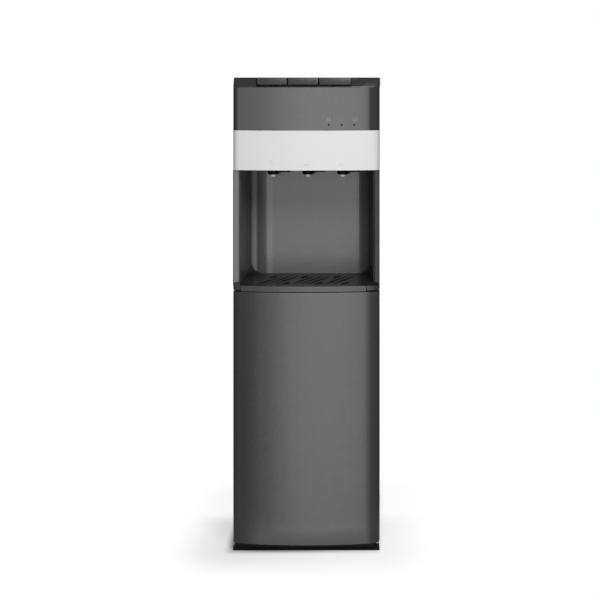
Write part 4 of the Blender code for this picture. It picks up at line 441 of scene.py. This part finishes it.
def band_marks(made, base):
    """Grey pictograms of the three waters along the foot of the pale band."""
    z = BAND_ICON_Z
    cold = without(made, icon(made, COLD_X, z, rings=[(0.0, 0.0016, 0.0034, 0.0011)]),
                   icon(made, COLD_X, z, bars=[(-0.0023, 0.0046, 0.0050, 0.0040)]))
    handle = icon(made, COLD_X, z, rings=[(-0.0019, 0.0108, 0.0015, 0.0009)],
                  bars=[(-0.0034, 0.0062, 0.0011, 0.0090)])
    room = icon(made, ROOM_X, z, bars=[(0.0, 0.0028, 0.0100, 0.0009), (0.0, 0.0014, 0.0100, 0.0009),
                                       (-0.0058, 0.0018, 0.0018, 0.0022),
                                       (0.0058, 0.0032, 0.0018, 0.0022)])
    hot = icon(made, HOT_X, z, rings=[(0.0, 0.0022, 0.0022, 0.0008)],
               bars=[(-0.0033, 0.0022, 0.0032, 0.0030), (0.0037, 0.0022, 0.0018, 0.0030)])
    return inked(made, base, made.greatest(cold, handle, room, hot), facing_front(made), *BAND_INK)


def rocker_marks(made, base):
    """White I and O on the two rockers at the back."""
    marks = [icon(made, x, ROCKER_Z, rings=[(0.0, -0.0056, 0.0020, 0.0009)],
                  bars=[(0.0, 0.0058, 0.0010, 0.0048)]) for x in ROCKER_X]
    return inked(made, base, made.greatest(*marks), facing_rear(made), *ROCKER_INK)


def front_grey_and_painted_shade(made, base):
    """Door grey on the front of tray and surround; painted shade on the right block, dark,
    low-gloss top.
    """
    ahead = made.product(made.ramp(made.axis(1), *STRIP_BACK, 1.0, 0.0), facing_front(made))
    top = made.ramp(made.axis(2), *BLOCK_TOP)
    strip = made.ramp(made.axis(0), *STRIP_END, 1.0, 0.0)
    block = without(made, made.ramp(made.axis(0), *BLOCK_START, 0.0, BLOCK_SHADED_GREY), top)
    painted_shade_top = made.product(ahead, top, made.ramp(made.axis(0), *STRIP_END))
    made.surface(gloss=made.ramp(painted_shade_top, 0.0, 1.0, PLASTIC_GLOSS, DULL_GLOSS))
    base = made.mix(made.product(ahead, made.greatest(strip, block)), base, DOOR_GREY)
    return made.mix(painted_shade_top, base, PAINTED_SHADE_DARK)


def painted_ridge_highlights(made, base):
    """Painted highlights: paler along the left edge of the alcove's back and where its curve ends.
    """
    base = made.mix(made.ramp(made.axis(0), *RIDGE_EDGE, 1.0, 0.0), base, EDGE_HIGHLIGHT_GREY)
    ridge = made.product(made.ramp(made.axis(0), *RIDGE_START),
                         made.ramp(made.axis(0), *RIDGE_END, 1.0, 0.0))
    return made.mix(ridge, base, RIDGE_HIGHLIGHT_GREY)


# Finishes


def foam_finish():
    """Closed-cell foam with a beaded surface."""
    made = Shade("white_foam")
    bead = made.cells(260.0)
    made.surface(made.mix(made.ramp(bead, 0.0, 0.6), (0.84, 0.84, 0.81), (0.66, 0.66, 0.63)),
                 made.ramp(bead, 0.0, 1.0, 0.85, 0.95))
    made.bump(bead, 0.6, 0.0008)
    return made


def hose_finish():
    """Milky silicone hose with a faint mottle."""
    made = Shade("milky_hose").set(Subsurface_Weight=0.15, Subsurface_Scale=0.003)
    mottle = made.noise(240.0, 2.0, 0.5)
    made.surface(made.mix(mottle, (0.74, 0.76, 0.77), (0.84, 0.86, 0.87)),
                 made.ramp(mottle, 0.3, 0.7, 0.32, 0.46))
    made.bump(mottle, 0.2, 0.0002)
    return made


def board_finish():
    """Green lacquered board with copper runs under the lacquer."""
    made = Shade("green_board")
    runs = made.greatest(
        made.ramp(made.noise(70.0, 1.0, 0.3, (6.0, 1.0, 0.4)), 0.56, 0.58),
        made.ramp(made.noise(70.0, 1.0, 0.3, (0.4, 1.0, 6.0)), 0.60, 0.62))
    made.surface(made.mix(runs, (0.02, 0.13, 0.05), (0.06, 0.28, 0.11)),
                 made.ramp(runs, 0.0, 1.0, 0.30, 0.42))
    made.bump(runs, 0.3, 0.00004)
    return made


def lens_finish():
    """Smoky light guide that looks dark when its light is off."""
    made = Shade("smoky_lens").set(IOR=1.49, Specular_IOR_Level=0.08)
    made.surface(made.mix(made.noise(500.0), (0.010, 0.010, 0.011), (0.020, 0.020, 0.022)),
                 made.ramp(made.noise(300.0), 0.3, 0.7, 0.10, 0.18))
    return made


finishes = {
    "door": moulded("satin_grey_door", DOOR_GREY, 0.27, depth=0.00003),
    "panel": moulded("satin_grey_panel", (0.092, 0.092, 0.093), 0.27, depth=0.00002,
                     marks=panel_marks),
    # The alcove's back takes painted highlights
    "alcove": moulded("grey_alcove", (0.122, 0.122, 0.123), 0.28, depth=0.00001,
                      marks=painted_ridge_highlights, gloss=0.45),
    "pillar": moulded("grey_alcove_side", (0.070, 0.070, 0.071), 0.15, depth=0.00002, gloss=0.60),
    "dark": moulded("dark_tray_plastic", TRAY_DARK, 0.38),
    # The tray takes painted shade on its right block
    "tray": moulded("dark_and_grey_tray", TRAY_DARK, 0.30, marks=front_grey_and_painted_shade),
    "black": moulded("black_base_plastic", (0.005, 0.005, 0.005), 0.50, gloss=0.14),
    "white": moulded("white_front_band", (0.66, 0.66, 0.66), 0.30, depth=0.00003, spread=0.01,
                     marks=band_marks, gloss=0.3),
    "ivory": moulded("white_moulding", (0.74, 0.74, 0.73), 0.32),
    "liner": moulded("dark_liner", (0.055, 0.055, 0.057), 0.48),
    "keys": moulded("dark_keys", (0.032, 0.032, 0.033), 0.34, gloss=0.3),
    "paint": painted("dark_grey_paint", (0.050, 0.050, 0.052), 0.36),
    "cover": moulded("dark_cover", (0.032, 0.032, 0.033), 0.40, gloss=0.4),
    "black_paint": painted("black_paint", (0.014, 0.014, 0.014), 0.38),
    "zinc": metal("zinc_sheet", (0.60, 0.61, 0.62), 0.42, (1.0, 1.0, 0.08)),
    "steel": metal("stainless", (0.62, 0.62, 0.63), 0.30, (0.15, 0.15, 1.0)),
    "copper": metal("copper", (0.74, 0.37, 0.23), 0.33, (1.0, 1.0, 0.2), spread=0.15),
    "red": moulded("red_rocker", (0.55, 0.03, 0.025), 0.30, spread=0.03, marks=rocker_marks),
    "green": moulded("green_rocker", (0.02, 0.26, 0.07), 0.30, spread=0.03, marks=rocker_marks),
    "rubber": moulded("black_rubber", (0.018, 0.018, 0.018), 0.75, grain=900.0, depth=0.0002),
    "foam": foam_finish(),
    "hose": hose_finish(),
    "board": board_finish(),
    "lens": lens_finish(),
}
# Painted shade darkens the colour towards the edges of these four finishes
edge_gloss_and_painted_shade(finishes["door"], left=(-0.095, -0.132), right=(0.126, 0.138),
           low=0.05, high=0.62, dim=0.10)
edge_gloss_and_painted_shade(finishes["panel"], left=(-0.142, -0.148), right=(0.129, 0.136),
           low=0.05, high=0.46, dim=0.58)
edge_gloss_and_painted_shade(finishes["alcove"], left=(-0.0975, -0.1030), right=(0.108, 0.113),
           low=0.10, high=0.45, dim=0.42)
edge_gloss_and_painted_shade(finishes["pillar"], left=(-0.2, -0.3), right=(0.100, 0.120),
           low=0.20, high=0.60, dim=0.60)

wearing = {
    "door": ("door_shell",),
    "panel": ("head_panel",),
    "alcove": ("alcove_back",),
    "pillar": ("alcove_side_left", "alcove_side_right"),
    "dark": ("drip_grille",),
    "tray": ("tray_surround", "drip_tray"),
    "black": ("base_pan", "head_floor", "tap_shroud_cold", "tap_shroud_room", "tap_shroud_hot",
              "drain_cap", "door_magnet"),
    "white": ("front_band",),
    "ivory": ("tap_spout_cold", "tap_spout_room", "tap_spout_hot", "valve_cold", "valve_room",
              "valve_hot", "water_pump", "bottle_probe"),
    "liner": ("door_inner_panel", "bottle_floor"),
    "keys": ("key_left", "key_middle", "key_right"),
    "paint": ("side_panel_left", "side_panel_right", "rear_panel"),
    "cover": ("top_cover",),
    "black_paint": ("compressor", "condenser_tube", "condenser_grid"),
    "zinc": ("mid_shelf", "compartment_back", "door_hinge_bracket"),
    "steel": ("cold_tank", "hot_tank"),
    "copper": ("evaporator_coil", "filter_drier", "capillary_tube"),
    "red": ("hot_switch",),
    "green": ("cold_switch",),
    "rubber": ("foot_front_left", "foot_front_right", "foot_rear_left", "foot_rear_right",
               "cord_gland"),
    "foam": ("cold_jacket",),
    "hose": ("suction_hose", "feed_hose", "cold_hose", "room_hose", "hot_hose"),
    "board": ("control_board", "switch_board"),
    "lens": ("indicator_lenses",),
}
for finish, names in wearing.items():
    for name in names:
        mesh = nodes[name].data
        mesh.materials.clear()
        mesh.materials.append(finishes[finish].material)


# Soft edges on the carried-over solids: radius of each node's edges

edges = {
    "door_shell": 0.0012, "head_panel": 0.0005, "front_band": 0.0006, "top_cover": 0.0006,
    "key_left": 0.0005, "key_middle": 0.0005, "key_right": 0.0005, "tray_surround": 0.0005,
    "drip_tray": 0.0004, "alcove_side_left": 0.0004, "alcove_side_right": 0.0004,
    "base_pan": 0.0005, "hot_switch": 0.0006, "cold_switch": 0.0006, "drain_cap": 0.0006,
    "cord_gland": 0.0006,
}


def shading_by_angle(limit):
    """Node group that shades a mesh smooth, apart from edges over a limit in radians."""
    tree = bpy.data.node_groups.new("shading_by_angle", "GeometryNodeTree")
    for way in ("INPUT", "OUTPUT"):
        tree.interface.new_socket("Geometry", in_out=way, socket_type="NodeSocketGeometry")
    chain = [tree.nodes.new(kind) for kind in
             ("NodeGroupInput", "GeometryNodeRemoveAttribute", "GeometryNodeSetShadeSmooth",
              "GeometryNodeSetShadeSmooth", "NodeGroupOutput")]
    _, plain, _, sharp, _ = chain
    plain.inputs["Name"].default_value = "custom_normal"
    sharp.domain = "EDGE"
    sharp.inputs["Shade Smooth"].default_value = False
    angle = tree.nodes.new("GeometryNodeInputMeshEdgeAngle")
    over = tree.nodes.new("FunctionNodeCompare")
    over.operation = "GREATER_THAN"
    over.inputs["B"].default_value = limit
    tree.links.new(angle.outputs["Unsigned Angle"], over.inputs["A"])
    tree.links.new(over.outputs["Result"], sharp.inputs["Selection"])
    for first, second in zip(chain, chain[1:]):
        tree.links.new(first.outputs["Geometry"], second.inputs["Geometry"])
    return tree


even_shading = shading_by_angle(SMOOTH_BELOW)
for name, width in edges.items():
    modifiers = nodes[name].modifiers
    modifiers.new("weld", "WELD").merge_threshold = WELD_REACH
    modifiers.new("even_shading", "NODES").node_group = even_shading
    bevel = modifiers.new("soft_edge", "BEVEL")
    bevel.width = width
    bevel.segments = 2
    bevel.limit_method = "ANGLE"
    bevel.angle_limit = SMOOTH_BELOW
    bevel.use_clamp_overlap = True
    bevel.harden_normals = True


# Trim


def flat_shaded(name, mesh_data, finish, parent):
    """Finished mesh that rides on a body of the part."""
    mesh = bpy.data.meshes.new(name)
    bmesh.ops.recalc_face_normals(mesh_data, faces=mesh_data.faces)
    mesh_data.to_mesh(mesh)
    mesh_data.free()
    mesh.materials.append(finishes[finish].material)
    made = bpy.data.objects.new(name, mesh)
    bpy.context.scene.collection.objects.link(made)
    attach(made, parent)


def bridged(mesh_data, first, second):
    """Faces between two rings."""
    for i, vertex in enumerate(first):
        follow = (i + 1) % len(first)
        mesh_data.faces.new((vertex, first[follow], second[follow], second[i]))


def pulled_up(plan, low, high):
    """Closed prism over a level outline."""
    mesh_data = bmesh.new()
    foot, top = [[mesh_data.verts.new((x, y, z)) for x, y in plan] for z in (low, high)]
    bridged(mesh_data, foot, top)
    mesh_data.faces.new(foot)
    mesh_data.faces.new(list(reversed(top)))
    return mesh_data


def ring_of(mesh_data, centre, radius, level):
    """Level ring of vertices."""
    turns = [math.tau * i / ROUND_SIDES for i in range(ROUND_SIDES)]
    return [mesh_data.verts.new((centre[0] + radius * math.cos(turn),
                                 centre[1] + radius * math.sin(turn), level)) for turn in turns]


def closed_rim(mesh_data, loop):
    """Edges around a loop of vertices, new where there are none."""
    return [mesh_data.edges.get(pair) or mesh_data.edges.new(pair)
            for pair in zip(loop, loop[1:] + loop[:1])]


def pillar_trims():
    """Strips that bring the outer sides of the alcove pillars flush with the door and the band."""
    (_, face, low), (side, _, _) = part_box("alcove_side_right")
    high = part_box("front_band")[0][2]
    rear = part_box("side_panel_right")[0][1]
    tip, half = PILLAR_TRIM_TIP
    outside = [(HALF_WIDTH - inward, face + back) for inward, back in PILLAR_TRIM_OUTSIDE]
    inside = [(side + out, face + back) for out, back in PILLAR_TRIM_INSIDE]
    plan = [(tip, face - half), *outside, (outside[-1][0], rear), (inside[0][0], rear), *inside,
            (tip, face + half)]
    for place, turn in SIDES:
        trim = pulled_up([(turn * x, y) for x, y in plan], low + CLEAR, high - CLEAR)
        flat_shaded("pillar_trim_" + place, trim, "pillar", "cabinet")


def base_lip():
    """Straight kick strip along the foot of the base, with a raised block at each corner."""
    front, outer = -FOOTPRINT[1], HALF_WIDTH - CLEAR
    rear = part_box("base_pan")[0][1] + LIP_OVERLAP
    strip = pulled_up([(-outer, front), (outer, front), (outer, rear), (-outer, rear)],
                      *STRIP_HEIGHTS)
    flat_shaded("base_kick_strip", strip, "black", "cabinet")
    inner, face = outer - CORNER_BLOCK_WIDTH, front + CORNER_BLOCK_SETBACK
    for place, turn in SIDES:
        plan = [(turn * inner, face), (turn * outer, face), (turn * outer, rear),
                (turn * inner, rear)]
        block = pulled_up(plan, *CORNER_BLOCK_HEIGHTS)
        flat_shaded("base_corner_block_" + place, block, "black", "cabinet")


def screw_heads(name, places, radius, finish):
    """Cross-recess pan heads on the back of the cabinet; places are X, Y of the face, Z."""
    whole = bmesh.new()
    height, arm, slot = HEAD_HEIGHT * radius, CROSS_REACH * radius, CROSS_HALF * radius
    profile = ((radius, 0.0), (radius, SHOULDER * height), (CROWN * radius, height))
    cross = [(slot, slot), (slot, arm), (-slot, arm), (-slot, slot), (-arm, slot), (-arm, -slot),
             (-slot, -slot), (-slot, -arm), (slot, -arm), (slot, -slot), (arm, -slot), (arm, slot)]
    for x, y, z in places:
        base, shoulder, crown = [ring_of(whole, (0.0, 0.0), *step) for step in profile]
        mouth, floor = [[whole.verts.new((u, v, level)) for u, v in cross]
                        for level in (height, CROSS_FOOT * height)]
        for first, second in ((base, shoulder), (shoulder, crown), (mouth, floor)):
            bridged(whole, first, second)
        whole.faces.new(base)
        whole.faces.new(floor)
        rims = closed_rim(whole, crown) + closed_rim(whole, mouth)
        bmesh.ops.triangle_fill(whole, edges=rims, use_beauty=True)
        for vertex in (*base, *shoulder, *crown, *mouth, *floor):
            across, up, out = vertex.co
            vertex.co = (x - across, y + out, z + up)
    flat_shaded(name, whole, finish, "cabinet")


def hose_clamps(places, radius):
    """Spring bands on the hose ends, each with two ears; places are X, Y, Z of the lower edge."""
    whole = bmesh.new()
    inside, outside, tall = CLAMP_BAND
    profile = ((inside, 0.0), (outside, 0.0), (outside, tall), (inside, tall))
    wide, deep, high = EAR_SIZE
    for x, y, z in places:
        rings = [ring_of(whole, (x, y), radius + out, z + up) for out, up in profile]
        for first, second in zip(rings, rings[1:] + rings[:1]):
            bridged(whole, first, second)
        for across, low in EAR_PLACES:
            for vertex in bmesh.ops.create_cube(whole, size=1.0)["verts"]:
                u, v, w = vertex.co
                vertex.co = (x + across + u * wide, y - radius - EAR_REACH + v * deep,
                             z + low + high / 2 + w * high)
    flat_shaded("hose_clamps", whole, "zinc", "cabinet")


def terminal_box():
    """Cover over the compressor's terminals, held by a wire clip."""
    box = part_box("compressor")
    side, middle, low = box[1][0], (box[0][1] + box[1][1]) / 2, box[0][2] + TERMINAL_HEIGHT
    for name, finish, foot, top, half_plan in TERMINAL_PARTS:
        plan = [(side + out, middle - half) for out, half in half_plan]
        plan += [(side + out, middle + half) for out, half in reversed(half_plan)]
        flat_shaded(name, pulled_up(plan, low + foot, low + top), finish, "cabinet")


pillar_trims()
base_lip()
screw_heads("rear_panel_screws", SCREWS, SCREW_RADIUS, "zinc")
screw_heads("rear_panel_top_screws", TOP_SCREWS, TOP_SCREW_RADIUS, "black_paint")
hose_clamps(CLAMPS, HOSE_RADIUS)
terminal_box()


# Floor and light


def floor_finish():
    """White floor that keeps the shadow near the object and turns into the backdrop around it.

    The shadow is fainter towards the right and beside the rear half. The camera, mirrors and glass
    see this floor, and all other light meets a plain matte one.
    """
    material = bpy.data.materials.new("studio_floor")
    material.use_nodes = True
    tree = material.node_tree
    tree.nodes.clear()
    made = Nodes(tree)
    place = tree.nodes.new("ShaderNodeTexCoord").outputs["Object"]
    reach = made.vector("MAXIMUM", made.vector("MULTIPLY", place, (RIGHT_STRETCH, 1.0, 1.0)),
                        made.vector("MULTIPLY", place, (-1.0, -1.0, -1.0)))
    outside = made.vector("MAXIMUM", made.vector("SUBTRACT", reach, FOOTPRINT), (0.0, 0.0, 0.0))
    far = made.vector("LENGTH", outside, result="Value")
    across, along, _ = made.split(place)
    shade = made.product(
        made.ramp(far, 0.0, CONTACT_WIDTH, 1.0, 1 - CONTACT_LIFT, smooth=True),
        made.ramp(far, CONTACT_WIDTH, FLOOR_MARGIN, 1.0, 0.0, smooth=True),
        made.ramp(across, -HALF_WIDTH, HALF_WIDTH, 1.0, RIGHT_SHADE, smooth=True))
    beside_rear = made.product(
        made.ramp(along, *REAR_FADE, 0.0, REAR_LIFT, smooth=True),
        made.ramp(made.split(outside)["X"], 0.0, ASIDE_FADE, smooth=True))
    shade = made.product(shade, made.rest(beside_rear))
    path = tree.nodes.new("ShaderNodeLightPath").outputs
    seen = made.greatest(path["Is Camera Ray"], path["Is Glossy Ray"],
                         path["Is Transmission Ray"])
    matte = tree.nodes.new("ShaderNodeBsdfDiffuse")
    matte.inputs["Color"].default_value = FLOOR_GREY
    white = tree.nodes.new("ShaderNodeEmission")
    made.blend(made.product(made.rest(shade), seen), matte.outputs["BSDF"],
               white.outputs["Emission"], "ShaderNodeOutputMaterial")
    return material


def make_floor():
    """White floor under the object and a hand's width around it."""
    mesh_data = bmesh.new()
    wide, deep = FOOTPRINT[0] + FLOOR_MARGIN, FOOTPRINT[1] + FLOOR_MARGIN
    corners = ((-wide, -deep), (wide, -deep), (wide, deep), (-wide, deep))
    mesh_data.faces.new([mesh_data.verts.new((x, y, 0.0)) for x, y in corners])
    mesh = bpy.data.meshes.new("floor")
    mesh_data.to_mesh(mesh)
    mesh_data.free()
    floor = bpy.data.objects.new("floor", mesh)
    bpy.context.scene.collection.objects.link(floor)
    mesh.materials.append(floor_finish())


def make_world():
    """White backdrop for the camera and for what mirrors the space behind, a dim room elsewhere."""
    world = bpy.data.worlds.new("studio")
    bpy.context.scene.world = world
    world.use_nodes = True
    tree = world.node_tree
    tree.nodes.clear()
    made = Nodes(tree)
    path = tree.nodes.new("ShaderNodeLightPath").outputs
    direction = tree.nodes.new("ShaderNodeTexCoord").outputs["Generated"]
    behind = made.ramp(made.split(direction)["Y"], *BACKDROP, smooth=True)
    mirrored = made.product(made.greatest(path["Is Glossy Ray"], path["Is Transmission Ray"]),
                            behind)
    room = made.calc("SUBTRACT", FILL,
                     made.product(path["Is Glossy Ray"], FILL - MIRRORED_FILL))
    lights = []
    for strength in (room, 1.0):
        light = tree.nodes.new("ShaderNodeBackground")
        light.inputs["Color"].default_value = WHITE
        made.feed(light.inputs["Strength"], strength)
        lights.append(light.outputs["Background"])
    made.blend(made.greatest(path["Is Camera Ray"], mirrored), *lights, "ShaderNodeOutputWorld")


def soft_box(name, place, aim, size, watts):
    """Rectangular lamp that points at a place."""
    light = bpy.data.lights.new(name, "AREA")
    light.shape = "RECTANGLE"
    light.size, light.size_y = size
    light.energy = watts
    lamp = bpy.data.objects.new(name, light)
    lamp.location = place
    lamp.rotation_euler = (Vector(aim) - Vector(place)).to_track_quat("-Z", "Y").to_euler()
    lamp.visible_camera = False
    bpy.context.scene.collection.objects.link(lamp)


make_floor()
make_world()
for lamp in LAMPS:
    soft_box(*lamp)


# Camera

data = bpy.data.cameras.new("camera")
data.sensor_fit = "HORIZONTAL"
data.sensor_width = SENSOR
data.lens = FOCAL_PIXELS / IMAGE_SIDE * SENSOR
data.shift_x = (IMAGE_SIDE / 2 - PRINCIPAL[0]) / IMAGE_SIDE
data.shift_y = (PRINCIPAL[1] - IMAGE_SIDE / 2) / IMAGE_SIDE
data.clip_start = CLIP_START
camera = bpy.data.objects.new("camera", data)
camera.location = CAMERA
camera.rotation_euler = (math.radians(90), 0.0, 0.0)
bpy.context.scene.collection.objects.link(camera)
bpy.context.scene.camera = camera
bpy.context.scene.view_settings.view_transform = "Standard"
